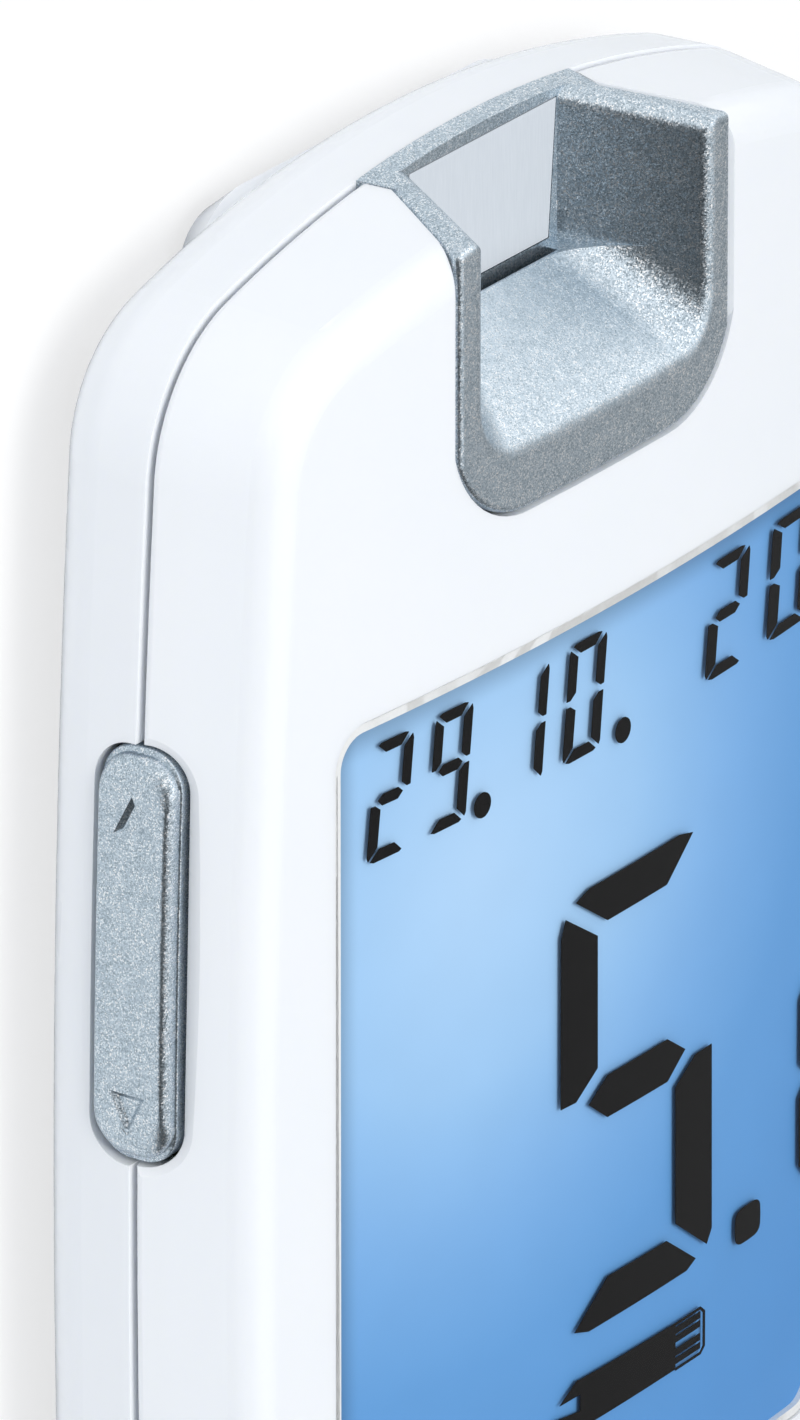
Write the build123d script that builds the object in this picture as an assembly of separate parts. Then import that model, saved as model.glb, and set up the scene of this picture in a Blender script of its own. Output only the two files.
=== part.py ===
from build123d import *
import os
from math import asin, cos, degrees, radians, sqrt, tan

# A handheld blood glucose meter lying on its back. +X is the user's right, +Y runs towards the
# strip port, +Z comes out of the display. Z = 0 is the table under the feet. All sizes in mm.

# ---------------------------------------------------------------- driving dimensions
# housing
LENGTH = 96.0
WIDTH = 52.6
END_RADIUS = 67.0
SIDE_RADIUS = 470.0
CORNER_RADIUS = 8.0
FRONT_HEIGHT = 7.65
CROWN_RADIUS = 190.0
FRONT_DRAFT = 13.0
END_REACH = 0.95
FRONT_EDGE_RADIUS = 2.0
REAR_DEPTH = 5.8
REAR_DRAFT = 2.0
REAR_EDGE_RADIUS = 3.2
WALL = 1.7
PARTING_GAP = 0.2
PARTING_ROUND = 0.35
LIP_INSET = 0.95
LIP_HEIGHT = 1.2
FIT_GAP = 0.12

# raised platform on the back, and the feet on it
PLATFORM_STEP = 1.7
PLATFORM_TOP_HALF = 12.3
PLATFORM_HALF = 16.8
PLATFORM_END_INSET = 1.8
PLATFORM_SPREAD = 22.0
PLATFORM_FLANK = 40.0
PLATFORM_CORNER = 4.0
SKIN = 1.5
FOOT_HEIGHT = 0.6
FOOT_RADIUS = 1.7
FOOT_FROM_TOP = 26.0
FOOT_FROM_END = 7.0
FOOT_MARGIN = 0.35

# strip port
BEZEL_REAR_HALF = 8.4
BEZEL_WAIST_HALF = 7.95
BEZEL_WAIST_HEIGHT = 1.7
BEZEL_FACE_HALF = 11.15
BEZEL_EDGE = 0.35
BEZEL_LENGTH = 15.6
BEZEL_CORNER = 5.5
RECESS_FLOOR_HALF = 5.9
RECESS_FACE_HALF = 9.1
RECESS_FLOOR = 1.1
RECESS_BLEND = 2.8
RAMP_FOOT = 7.9
RAMP_FOOT_HEIGHT = 1.85
RAMP_HEAD = 12.6
BEZEL_WALL = 1.2
BEZEL_RIM = 0.8
SLOT_HALF = 5.0
SLOT_HEIGHT = 0.65
PLATE_THICKNESS = 0.6
PLATE_LENGTH = 7.5
PLATE_FOOT_HALF = 5.2
CONNECTOR_HALF = 6.3
CONNECTOR_LENGTH = 7.4
CONNECTOR_SETBACK = 10.6
CONNECTOR_HEIGHT = 3.3
CONTACT_OFFSETS = (-3.7, -2.3, 2.3, 3.7)
CONTACT_WIDTH = 0.7
CONTACT_THICKNESS = 0.25
CONTACT_LIFT = 0.1
CONTACT_TAIL = 0.8
CONTACT_SETBACK = 1.5

# display
WINDOW_SIDE = 6.85
WINDOW_TOP = 22.25
WINDOW_LENGTH = 47.3
WINDOW_CORNER = 2.0
WINDOW_THICKNESS = 1.3
ADHESIVE = 0.2
ADHESIVE_WIDTH = 0.75
LEDGE_WIDTH = 0.9
LEDGE_THICKNESS = 0.8
LCD_OVERLAP = 0.0
LCD_GAP = 0.1
LCD_THICKNESS = 1.7
LCD_HOLDER_WALL = 0.7
LCD_DROP = 0.05
GUIDE_THICKNESS = 1.4
GUIDE_MARGIN = 0.2
REFLECTOR_THICKNESS = 0.15
ZEBRA_THICKNESS = 1.6
ZEBRA_HALF = 17.0
ZEBRA_SPACE = 0.8
ARM_ROOM = 0.25
LED_LENGTH = 3.0
LED_DEPTH = 0.5
LED_HEIGHT = 2.4
LED_PITCH = 11.0

# circuit board
BOARD_THICKNESS = 1.0
BOARD_DROP = 0.6
BOARD_INSET = 0.5
BOARD_SIDE = 4.0
BOARD_TONGUE_HALF = 13.0
BOARD_FROM_END = 7.5
BOARD_FROM_TOP = 13.0
CHIP_SIZE = 10.0
CHIP_HEIGHT = 1.4
CHIP_X = -6.0
CHIP_FROM_TOP = 24.0
MEMORY_SIZE = 4.4
MEMORY_X = 6.0
CRYSTAL_LENGTH = 6.0
CRYSTAL_RADIUS = 1.0
CRYSTAL_X = 7.0
CRYSTAL_FROM_TOP = 20.0
LEAD_WIDTH = 0.4
LEAD_REACH = 1.0
LEAD_COUNT = 9
MEMORY_HEIGHT = 1.0
PASSIVE_ROWS = (-4.0, -8.0, 12.0)
PASSIVE_COUNT = 5
PASSIVE_PITCH = 3.2
PASSIVE_OFFSET = 12.0
PASSIVE_LENGTH = 1.6
PASSIVE_WIDTH = 0.9
PASSIVE_HEIGHT = 0.6
BUZZER_RADIUS = 5.0
BUZZER_HEIGHT = 2.6
BUZZER_X = 5.0
BUZZER_MARGIN = 4.9

# rocker key on the left, power button on the right
KEY_LENGTH = 20.0
KEY_HEIGHT = 4.4
KEY_CORNER = 1.85
KEY_FROM_TOP = 32.3
KEY_RISE = 0.15
KEY_PROUD = 0.4
KEY_FLANGE = 0.05
KEY_STEP_SIDE = 0.3
KEY_STEP_END = 0.9
KEY_THICKNESS = 1.6
KEY_EDGE = 0.3
KEY_GAP = 0.2
KEY_MARK = 0.25
KEY_MARK_WIDTH = 1.95
KEY_MARK_UP = 6.9
KEY_MARK_DOWN = 7.5
KEY_RIM_WIDTH = 0.8
KEY_RIM_DEPTH = 0.25
PIVOT_INSET = 2.6
PIN_RADIUS = 0.5
PIN_CLEARANCE = 0.05
PIN_LENGTH = 6.6
LUG_HALF = 1.5
LUG_HEIGHT = 4.2
LUG_REACH = 1.1
EAR_HALF = 1.4
EAR_OFFSET = 2.3
PAD_WIDTH = 2.4
PAD_HEIGHT = 1.6
SWITCH_OFFSET = 7.0
SWITCH_REACH = 0.4
SWITCH_LENGTH = 4.4
SWITCH_DEPTH = 1.9
SWITCH_HEIGHT = 1.7
PLUNGER_REACH = 0.7
PLUNGER_LENGTH = 1.4
PLUNGER_HEIGHT = 1.2
POWER_LENGTH = 9.0
POWER_HEIGHT = 4.1
POWER_TRAVEL = 0.5

# strip ejector
EJECTOR_FROM_TOP = 23.8
EJECTOR_TRAVEL = 5.0
EJECTOR_KNOB_LENGTH = 6.0
EJECTOR_KNOB_HALF = 1.6
EJECTOR_NECK_HALF = 0.8
EJECTOR_NECK_INSET = 0.5
EJECTOR_SEAT = 0.4
EJECTOR_PROUD = 0.2
EJECTOR_CORNER = 0.8
EJECTOR_RIBS = 5
RIB_GROOVE = 0.4
RIB_HALF = 1.1
SLIDE_ROOM = 0.2
ARM_LIFT = 0.15
ARM_THICKNESS = 1.0
ARM_WIDTH = 1.4
TONGUE_HALF = 1.2

# battery compartment
CELL_RADIUS = 10.0
CELL_THICKNESS = 3.2
CELL_GAP = 0.3
CELL_HEADROOM = 0.5
COMPARTMENT_FROM_END = 7.4
CEILING = 0.7
TRAY_WALL = 2.9
DOOR_THICKNESS = 1.2
DOOR_SIDE = 0.75
DOOR_TONGUE = 0.8
DOOR_GAP = 0.15
LEAF = 0.25
LEAF_LENGTH = 10.0
LEAF_WIDTH = 3.0
LEAF_DIMPLE = 0.9
BLADE_WIDTH = 4.0
TAB_WIDTH = 2.0
CELL_CAP = 0.5
CELL_CAP_INSET = 1.2
GRIP_GROOVES = 4
GRIP_PITCH = 1.4
GRIP_HALF = 5.0
GRIP_WIDTH = 0.7
GRIP_DEPTH = 0.3

# screws and bosses, data socket
BOSS_TOP_SIDE = 7.8
BOSS_FROM_TOP = 9.5
BOSS_END_SIDE = 6.0
BOSS_FROM_END = 12.0
BOSS_RADIUS = 2.3
SCREW_RADIUS = 0.95
SCREW_HEAD_RADIUS = 1.7
SCREW_HEAD_HEIGHT = 1.3
SCREW_LENGTH = 8.0
SCREW_HEAD_DEPTH = 2.1
BOARD_POST_RADIUS = 2.0
BOARD_POST_MARGIN = 0.8
BOARD_POST_FROM_TOP = 42.0
BOARD_SCREW_RADIUS = 0.8
BOARD_SCREW_BITE = 1.6
BOARD_HEAD_RADIUS = 1.6
BOARD_HEAD_HEIGHT = 0.9
BOARD_HEAD_SLOT = 1.1
SOCKET_X = 0.0
SOCKET_BORE = 1.3
SOCKET_DEPTH = 6.2
SOCKET_COLLAR = 2.0
SOCKET_WIDTH = 5.4
SOCKET_HEIGHT = 3.8

# ---------------------------------------------------------------- places worked out from them
END_Y = LENGTH / 2
BACK_Z = FOOT_HEIGHT
SHOULDER_Z = BACK_Z + PLATFORM_STEP
PART_Z = SHOULDER_Z + REAR_DEPTH
TOP_Z = PART_Z + FRONT_HEIGHT
PLATFORM_WIDE_Y = END_Y - PLATFORM_SPREAD

STRIP_Z = PART_Z + RECESS_FLOOR
BEZEL_END_Y = END_Y - BEZEL_LENGTH
CONNECTOR_Y = END_Y - CONNECTOR_SETBACK
WINDOW_HALF = WIDTH / 2 - WINDOW_SIDE
WINDOW_TOP_Y = END_Y - WINDOW_TOP
WINDOW_Y = WINDOW_TOP_Y - WINDOW_LENGTH / 2

BOARD_TOP_Z = PART_Z - BOARD_DROP
BOARD_Z = BOARD_TOP_Z - BOARD_THICKNESS
BOARD_SIDE_HALF = WIDTH / 2 - BOARD_SIDE
BOARD_END_Y = -END_Y + BOARD_FROM_END
BOARD_HEAD_Y = END_Y - BOARD_FROM_TOP
LEDGE_DEPTH = WINDOW_THICKNESS + ADHESIVE + LEDGE_THICKNESS
LCD_EDGE_X = WINDOW_HALF + LCD_OVERLAP + LCD_GAP + LCD_HOLDER_WALL
LEDGE_Z = TOP_Z - CROWN_RADIUS + sqrt((CROWN_RADIUS - LEDGE_DEPTH) ** 2 - LCD_EDGE_X ** 2)
LCD_TOP_Z = LEDGE_Z - LCD_DROP
LCD_Z = LCD_TOP_Z - LCD_THICKNESS
GUIDE_Z = LCD_Z - LCD_GAP - GUIDE_THICKNESS

KEY_Y = END_Y - KEY_FROM_TOP
KEY_Z = PART_Z + KEY_RISE
PIVOT_X = -(WIDTH / 2 - PIVOT_INSET)
EJECTOR_Y = END_Y - EJECTOR_FROM_TOP

DOOR_TOP_Z = BACK_Z + DOOR_THICKNESS
CELL_Z = DOOR_TOP_Z + DOOR_GAP
CEILING_Z = CELL_Z + CELL_THICKNESS + CELL_HEADROOM
CAVITY_HALF = CELL_RADIUS + CELL_GAP
CAVITY_END_Y = -END_Y + COMPARTMENT_FROM_END
CELL_YS = tuple(CAVITY_END_Y + (2 * i + 1) * CAVITY_HALF for i in (1, 0))
COMPARTMENT_TOP_Y = CELL_YS[0] + CAVITY_HALF

FOOT_X = CAVITY_HALF + DOOR_SIDE + FOOT_MARGIN + FOOT_RADIUS
FOOT_YS = (END_Y - FOOT_FROM_TOP, -END_Y + FOOT_FROM_END)
BOSSES = [(side * (WIDTH / 2 - inset), y) for side in (-1, 1)
          for inset, y in ((BOSS_TOP_SIDE, END_Y - BOSS_FROM_TOP),
                           (BOSS_END_SIDE, -END_Y + BOSS_FROM_END))]
BOARD_POST_X = CAVITY_HALF + TRAY_WALL + BOARD_POST_MARGIN + BOARD_POST_RADIUS
BOARD_SCREWS = [(side * BOARD_POST_X, END_Y - BOARD_POST_FROM_TOP) for side in (-1, 1)]


# ---------------------------------------------------------------- helpers
def block(low, high):
    """A box between two opposite corners."""
    size = [h - l for l, h in zip(low, high)]
    middle = [(h + l) / 2 for l, h in zip(low, high)]
    return Pos(*middle) * Box(*size)


def rod(x, y, low, high, radius):
    """An upright cylinder between two heights."""
    return Pos(x, y, (low + high) / 2) * Cylinder(radius, high - low)


def outline(inset=0.0, reach=0.0):
    """The housing seen from the front: four arcs with rounded corners, drawn inset from the edge."""
    half_width = WIDTH / 2 - inset
    half_length = LENGTH / 2 - inset + reach
    side = SIDE_RADIUS - inset
    end = END_RADIUS - inset
    face = Pos(side - half_width, 0) * Circle(side)
    face &= Pos(half_width - side, 0) * Circle(side)
    face &= Pos(0, half_length - end) * Circle(end)
    face &= Pos(0, end - half_length) * Circle(end)
    return fillet(face.vertices(), CORNER_RADIUS - inset)


def prism(low, high, inset=0.0):
    """The outline as an upright prism."""
    return Pos(0, 0, low) * extrude(outline(inset), high - low)


def crown(depth=0.0):
    """Everything under the front face's cylinder, or under one that lies deeper."""
    return Pos(0, 0, TOP_Z - CROWN_RADIUS) * Rot(90, 0, 0) * Cylinder(CROWN_RADIUS - depth, 2 * LENGTH)


def drafted(height, draft, inset=0.0, reach=0.0):
    """A block on the outline whose walls lean in by the draft, and at the ends by reach less.

    A negative height goes down.
    """
    lean = abs(height) * tan(radians(draft))
    return loft([outline(inset), Pos(0, 0, height) * outline(inset + lean, reach)], ruled=True)


def front_body(inset=0.0):
    """The front half as a solid: drafted sides and steeper ends under the crowned face."""
    walls = drafted(FRONT_HEIGHT + 1, FRONT_DRAFT, inset, END_REACH)
    return Pos(0, 0, PART_Z) * walls & crown(inset)


def rear_body(inset=0.0):
    """The rear half as a solid down to its shoulder, with a rounded back edge."""
    depth = REAR_DEPTH - inset
    body = drafted(-depth, REAR_DRAFT, inset)
    edges = body.edges().filter_by(lambda e: e.bounding_box().max.Z < -depth + 0.01)
    return Pos(0, 0, PART_Z) * fillet(edges, max(REAR_EDGE_RADIUS - inset, 0.8))


def platform_face(inset=0.0):
    """The raised platform's outline at the shoulder."""
    head = END_Y - PLATFORM_END_INSET - inset
    foot = -END_Y + PLATFORM_END_INSET + inset
    top_half = PLATFORM_TOP_HALF - inset
    half = PLATFORM_HALF - inset
    points = [(-top_half, head), (top_half, head), (half, PLATFORM_WIDE_Y), (half, foot),
              (-half, foot), (-half, PLATFORM_WIDE_Y)]
    face = make_face(Polyline(*points, close=True))
    return fillet(face.vertices(), PLATFORM_CORNER)


def platform_body():
    """The platform with its sloping flanks, reaching a little up into the rear half."""
    flank = extrude(platform_face(), -PLATFORM_STEP, taper=PLATFORM_FLANK)
    root = extrude(platform_face(), SKIN)
    return Pos(0, 0, SHOULDER_Z) * (flank + root)


def side_pill(y, z, length, height, corner, x_low, x_high, grow=0.0):
    """A rounded bar along X whose end shape, seen from the side, is length along Y by height."""
    face = RectangleRounded(length + 2 * grow, height + 2 * grow, corner + grow)
    bar = extrude(Plane.YZ * face, x_high - x_low)
    return Pos(x_low, y, z) * bar


def window_prism(low, high, grow=0.0):
    """The display window's outline as an upright prism."""
    corner = max(WINDOW_CORNER + grow, 0.5)
    face = RectangleRounded(2 * (WINDOW_HALF + grow), WINDOW_LENGTH + 2 * grow, corner)
    return Pos(0, WINDOW_Y, low) * extrude(face, high - low)


# ---------------------------------------------------------------- strip port
def bezel_block(grow=0.0):
    """The port insert's outer form: narrow at the parting plane, flaring to the face."""
    flare = (BEZEL_FACE_HALF - BEZEL_WAIST_HALF) / (FRONT_HEIGHT - BEZEL_WAIST_HEIGHT)
    over = 1.0
    top_half = BEZEL_FACE_HALF + flare * over + grow
    points = [(-BEZEL_REAR_HALF - grow, 0), (-BEZEL_WAIST_HALF - grow, BEZEL_WAIST_HEIGHT),
              (-top_half, FRONT_HEIGHT + over), (top_half, FRONT_HEIGHT + over),
              (BEZEL_WAIST_HALF + grow, BEZEL_WAIST_HEIGHT), (BEZEL_REAR_HALF + grow, 0)]
    length = BEZEL_LENGTH + 2 + grow
    flared = extrude(Plane.XZ * make_face(Polyline(*points, close=True)), length)
    flared = Pos(0, END_Y + 2, PART_Z) * flared
    width = 2 * (BEZEL_FACE_HALF + grow)
    tongue = Rectangle(width, 2 * length)
    tongue = fillet(tongue.vertices(), BEZEL_CORNER + grow)
    tongue = Pos(0, END_Y + 2, PART_Z - 1) * extrude(tongue, FRONT_HEIGHT + 4)
    return flared & tongue


def recess_body(grow=0.0):
    """The funnel that guides a strip in: open at the end, with a flat floor and a ramp."""
    lean = (RECESS_FACE_HALF - RECESS_FLOOR_HALF) / (FRONT_HEIGHT - RECESS_FLOOR)
    over = 1.5
    top_half = RECESS_FACE_HALF + lean * over + grow
    floor_half = RECESS_FLOOR_HALF + grow
    floor = RECESS_FLOOR - grow
    across = [(-floor_half, floor), (-top_half, FRONT_HEIGHT + over),
              (top_half, FRONT_HEIGHT + over), (floor_half, floor)]
    climb = (RAMP_HEAD - RAMP_FOOT) / (FRONT_HEIGHT - RAMP_FOOT_HEIGHT)
    along = [(2, floor), (2, FRONT_HEIGHT + over),
             (-RAMP_HEAD - climb * over - grow, FRONT_HEIGHT + over),
             (-RAMP_FOOT - grow, RAMP_FOOT_HEIGHT), (-RAMP_FOOT - grow, floor)]
    wide = extrude(Plane.XZ * make_face(Polyline(*across, close=True)), BEZEL_LENGTH + 6)
    wide = Pos(0, 3, 0) * wide
    deep = extrude(Plane.YZ * make_face(Polyline(*along, close=True)), BEZEL_FACE_HALF + 4, both=True)
    body = wide & deep
    corners = body.edges().filter_by(
        lambda e: -RAMP_HEAD - 2 < e.center().Y < -RAMP_FOOT - 0.5
        and abs(e.center().X) > RECESS_FLOOR_HALF and e.length > 4)
    body = fillet(corners, RECESS_BLEND)
    return Pos(0, END_Y, PART_Z) * body


def outer_rim(edge):
    """Whether an edge of the insert's outer form shows on the face or on the end wall."""
    middle = edge.center()
    height = middle.Z - PART_Z
    half = abs(middle.X)
    reach = BEZEL_WAIST_HALF + (BEZEL_FACE_HALF - BEZEL_WAIST_HALF) * height / FRONT_HEIGHT - BEZEL_RIM
    on_end = END_Y - middle.Y < BEZEL_RIM * 3 and height > BEZEL_WAIST_HEIGHT and half > reach
    around = half > BEZEL_FACE_HALF - BEZEL_RIM / 2 or END_Y - middle.Y > BEZEL_LENGTH - BEZEL_RIM
    return on_end or height > FRONT_HEIGHT - BEZEL_RIM and around


def funnel_rims(body):
    """The funnel's edges on the face and on the end wall."""
    inner = (RECESS_FACE_HALF + BEZEL_FACE_HALF) / 2 - BEZEL_RIM / 2
    low_inner = RECESS_FACE_HALF - BEZEL_RIM / 2
    rims = []
    for edge in body.edges():
        middle = edge.center()
        half = abs(middle.X)
        back = END_Y - middle.Y
        height = middle.Z - PART_Z
        on_face = height > FRONT_HEIGHT - 0.5 and half < inner and back < RAMP_HEAD + BEZEL_RIM
        on_end = RECESS_FLOOR + 1 < height < FRONT_HEIGHT - 0.5 and back < BEZEL_RIM * 3 and half < low_inner
        if on_face or on_end:
            rims.append(edge)
    return rims


def make_port_bezel():
    """Silver insert: funnel walls, floor, ramp and the strip slot under the ramp."""
    body = bezel_block() & front_body()
    body -= recess_body()
    body = fillet(funnel_rims(body), BEZEL_RIM)
    body = fillet(body.edges().filter_by(outer_rim), BEZEL_EDGE)
    under = [(-RAMP_FOOT - BEZEL_WALL, -1), (-RAMP_FOOT - BEZEL_WALL, RAMP_FOOT_HEIGHT),
             (-RAMP_HEAD - BEZEL_WALL, FRONT_HEIGHT - BEZEL_WALL),
             (-BEZEL_LENGTH + BEZEL_WALL, FRONT_HEIGHT - BEZEL_WALL - 0.6),
             (-BEZEL_LENGTH + BEZEL_WALL, CONNECTOR_HEIGHT), (-BEZEL_LENGTH - 1, CONNECTOR_HEIGHT),
             (-BEZEL_LENGTH - 1, -1)]
    section = Plane.YZ * make_face(Polyline(*under, close=True))
    hollow = extrude(section, CONNECTOR_HALF + 0.4, both=True)
    body -= Pos(0, END_Y, PART_Z) * hollow
    body -= block((-SLOT_HALF, BEZEL_END_Y, STRIP_Z),
                  (SLOT_HALF, END_Y - PLATE_LENGTH + 1, STRIP_Z + SLOT_HEIGHT))
    seat = plate_face(FIT_GAP / 2)
    body -= Pos(0, 0, STRIP_Z - PLATE_THICKNESS) * extrude(seat, PLATE_THICKNESS + 0.5)
    return body


def plate_face(grow=0.0):
    """The guide plate's outline: it narrows towards the slot."""
    head = END_Y - WALL / 2
    foot = END_Y - PLATE_LENGTH
    half = RECESS_FLOOR_HALF - 0.1
    points = [(-half - grow, head + grow), (half + grow, head + grow),
              (PLATE_FOOT_HALF + grow, foot - grow), (-PLATE_FOOT_HALF - grow, foot - grow)]
    return make_face(Polyline(*points, close=True))


def make_port_guide_plate():
    """Smooth plate on the funnel's floor that the strip slides over."""
    return Pos(0, 0, STRIP_Z - PLATE_THICKNESS) * extrude(plate_face(), PLATE_THICKNESS)


def make_strip_connector():
    """Black connector body on the board, with a slot that a strip enters."""
    body = block((-CONNECTOR_HALF, CONNECTOR_Y - CONNECTOR_LENGTH, BOARD_TOP_Z),
                 (CONNECTOR_HALF, CONNECTOR_Y, PART_Z + CONNECTOR_HEIGHT - 0.4))
    body -= block((-SLOT_HALF, CONNECTOR_Y - CONNECTOR_LENGTH - 1, STRIP_Z - 0.05),
                  (SLOT_HALF, CONNECTOR_Y + 1, STRIP_Z + SLOT_HEIGHT + 0.1))
    for x in CONTACT_OFFSETS:
        body -= contact_leaf(x, FIT_GAP)
    channel = TONGUE_HALF + ARM_ROOM
    foot = CONNECTOR_Y - CONNECTOR_LENGTH
    body -= block((-channel, foot - 1, BOARD_TOP_Z - 1),
                  (channel, foot + EJECTOR_TRAVEL + 1.0, STRIP_Z + SLOT_HEIGHT + 0.1))
    return body


def contact_leaf(x, grow=0.0):
    """One spring contact: a leaf over the slot and a tail down to the board."""
    foot = CONNECTOR_Y - CONNECTOR_LENGTH
    low = STRIP_Z + SLOT_HEIGHT + CONTACT_LIFT
    high = low + CONTACT_THICKNESS + grow
    half = CONTACT_WIDTH / 2 + grow
    leaf = block((x - half, foot, low - grow), (x + half, CONNECTOR_Y - CONTACT_SETBACK, high))
    tail = block((x - half, foot + 0.2 - CONTACT_TAIL, BOARD_TOP_Z), (x + half, foot + 0.2, high))
    return leaf + tail


def make_strip_contacts():
    """Gold leaves that touch the strip's electrodes."""
    return [contact_leaf(x) for x in CONTACT_OFFSETS]


# ---------------------------------------------------------------- display
def make_display_window():
    """Clear window, crowned like the face and flush with it."""
    pane = window_prism(PART_Z, TOP_Z + 1)
    return (pane & crown()) - crown(WINDOW_THICKNESS)


def make_window_adhesive():
    """Thin adhesive frame between the window and its ledge."""
    frame = window_prism(PART_Z, TOP_Z, -0.1) - window_prism(PART_Z, TOP_Z, -0.1 - ADHESIVE_WIDTH)
    return (frame & crown(WINDOW_THICKNESS)) - crown(WINDOW_THICKNESS + ADHESIVE)


def lcd_box(grow, low, high):
    """A plain block on the display's centre, sized from the window."""
    half = WINDOW_HALF + grow
    half_length = WINDOW_LENGTH / 2 + grow
    return block((-half, WINDOW_Y - half_length, low), (half, WINDOW_Y + half_length, high))


def make_lcd_glass():
    """The liquid crystal cell under the window."""
    return lcd_box(LCD_OVERLAP, LCD_Z, LCD_TOP_Z)


def make_lcd_holder():
    """White frame that stands on the board around the display."""
    inner = LCD_OVERLAP + LCD_GAP
    outer = lcd_box(inner + LCD_HOLDER_WALL, BOARD_TOP_Z, LCD_TOP_Z)
    holder = outer - lcd_box(inner, BOARD_TOP_Z - 1, LCD_TOP_Z + 1) - arm_passage()
    for x, y in BOARD_SCREWS:
        holder -= rod(x, y, BOARD_Z, BOARD_TOP_Z + BOARD_HEAD_HEIGHT + FIT_GAP, BOARD_HEAD_RADIUS + FIT_GAP)
    return holder


def guide_ends():
    """The light guide's Y range, clear of the contact strip at its foot."""
    return WINDOW_TOP_Y - WINDOW_LENGTH + ZEBRA_THICKNESS + ZEBRA_SPACE, WINDOW_TOP_Y


def make_backlight_guide():
    """Clear block that spreads the blue light under the display."""
    foot, head = guide_ends()
    half = WINDOW_HALF - GUIDE_MARGIN
    return block((-half, foot, GUIDE_Z), (half, head, GUIDE_Z + GUIDE_THICKNESS))


def make_backlight_reflector():
    """White film under the light guide."""
    foot, head = guide_ends()
    half = WINDOW_HALF - GUIDE_MARGIN
    return block((-half, foot, GUIDE_Z - REFLECTOR_THICKNESS), (half, head, GUIDE_Z))


def make_backlight_leds():
    """Three side-firing lamps on the board at the light guide's foot."""
    head = guide_ends()[0] - 0.05
    half = LED_LENGTH / 2
    return [block((x - half, head - LED_DEPTH, BOARD_TOP_Z), (x + half, head, BOARD_TOP_Z + LED_HEIGHT))
            for x in (-LED_PITCH, 0.0, LED_PITCH)]


def make_zebra_strip():
    """Rubber strip that carries the signals from the board up to the glass."""
    foot = WINDOW_TOP_Y - WINDOW_LENGTH - LCD_OVERLAP
    return block((-ZEBRA_HALF, foot, BOARD_TOP_Z), (ZEBRA_HALF, foot + ZEBRA_THICKNESS, LCD_Z))


# ---------------------------------------------------------------- keys
def key_reach(proud):
    """The housing's outline grown past the side wall, as tall as the keys."""
    return prism(PART_Z - REAR_DEPTH, PART_Z + FRONT_HEIGHT, -proud)


def key_recess(depth):
    """A skin of the given depth just inside the keys' outer face."""
    return key_reach(KEY_PROUD + 0.5) - key_reach(KEY_PROUD - depth)


def triangle(y, pointing):
    """A flat triangular mark above or below the key's middle, one corner along +Y or -Y."""
    half = KEY_MARK_WIDTH / 2
    base = y - pointing * half
    points = [(base, -half), (base, half), (y + pointing * half, 0)]
    mark = extrude(Plane.YZ * make_face(Polyline(*points, close=True)), 4)
    return Pos(-WIDTH / 2 - 2, KEY_Y, KEY_Z) * mark


def make_rocker_key():
    """Long rocker with an up mark and a down mark, a pivot lug and two pads behind."""
    back = -(WIDTH / 2 - KEY_THICKNESS)
    flange = side_pill(KEY_Y, KEY_Z, KEY_LENGTH, KEY_HEIGHT, KEY_CORNER, -WIDTH, back)
    flange &= key_reach(KEY_FLANGE)
    plateau = side_pill(KEY_Y, KEY_Z, KEY_LENGTH - 2 * KEY_STEP_END, KEY_HEIGHT - 2 * KEY_STEP_SIDE,
                        KEY_CORNER - KEY_STEP_SIDE, -WIDTH, back)
    plateau &= key_reach(KEY_PROUD)
    cap = None
    for layer in (flange, plateau):
        rim = layer.edges().filter_by(lambda e: e.center().X < back - KEY_THICKNESS / 2)
        layer = fillet(rim, KEY_EDGE)
        cap = layer if cap is None else cap + layer
    skin = key_recess(KEY_MARK)
    cap -= triangle(KEY_MARK_UP, 1) & skin
    cap -= triangle(-KEY_MARK_DOWN, -1) & skin
    lug_half = LUG_HEIGHT / 2
    key = cap + block((back - 0.1, KEY_Y - LUG_HALF, KEY_Z - lug_half),
                      (PIVOT_X + LUG_REACH, KEY_Y + LUG_HALF, KEY_Z + lug_half))
    pad_end = switch_tip() - SWITCH_REACH
    for y in (KEY_Y - SWITCH_OFFSET, KEY_Y + SWITCH_OFFSET):
        key += block((back - 0.1, y - PAD_WIDTH / 2, KEY_Z - PAD_HEIGHT / 2),
                     (pad_end, y + PAD_WIDTH / 2, KEY_Z + PAD_HEIGHT / 2))
    return key - rod(PIVOT_X, KEY_Y, 0, TOP_Z, PIN_RADIUS + PIN_CLEARANCE)


def switch_tip():
    """Where the left switches' plungers end."""
    return -(BOARD_SIDE_HALF + PLUNGER_REACH)


def make_rocker_pin():
    """Steel pin the rocker turns on, held by an ear on each cover."""
    return rod(PIVOT_X, KEY_Y, KEY_Z - PIN_LENGTH / 2, KEY_Z + PIN_LENGTH / 2, PIN_RADIUS)


def switch(y, side):
    """A side-push switch on the board, its plunger facing the key on that side."""
    inner = BOARD_SIDE_HALF - SWITCH_DEPTH
    half = SWITCH_LENGTH / 2
    body = block((inner, y - half, BOARD_TOP_Z), (BOARD_SIDE_HALF, y + half, BOARD_TOP_Z + SWITCH_HEIGHT))
    plunger = block((BOARD_SIDE_HALF, y - PLUNGER_LENGTH / 2, KEY_Z - PLUNGER_HEIGHT / 2),
                    (-switch_tip(), y + PLUNGER_LENGTH / 2, KEY_Z + PLUNGER_HEIGHT / 2))
    both = body + plunger
    return both if side > 0 else mirror(both, Plane.YZ)


def make_rocker_switches():
    """The two switches behind the rocker's pads."""
    return [switch(KEY_Y - SWITCH_OFFSET, -1), switch(KEY_Y + SWITCH_OFFSET, -1)]


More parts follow.
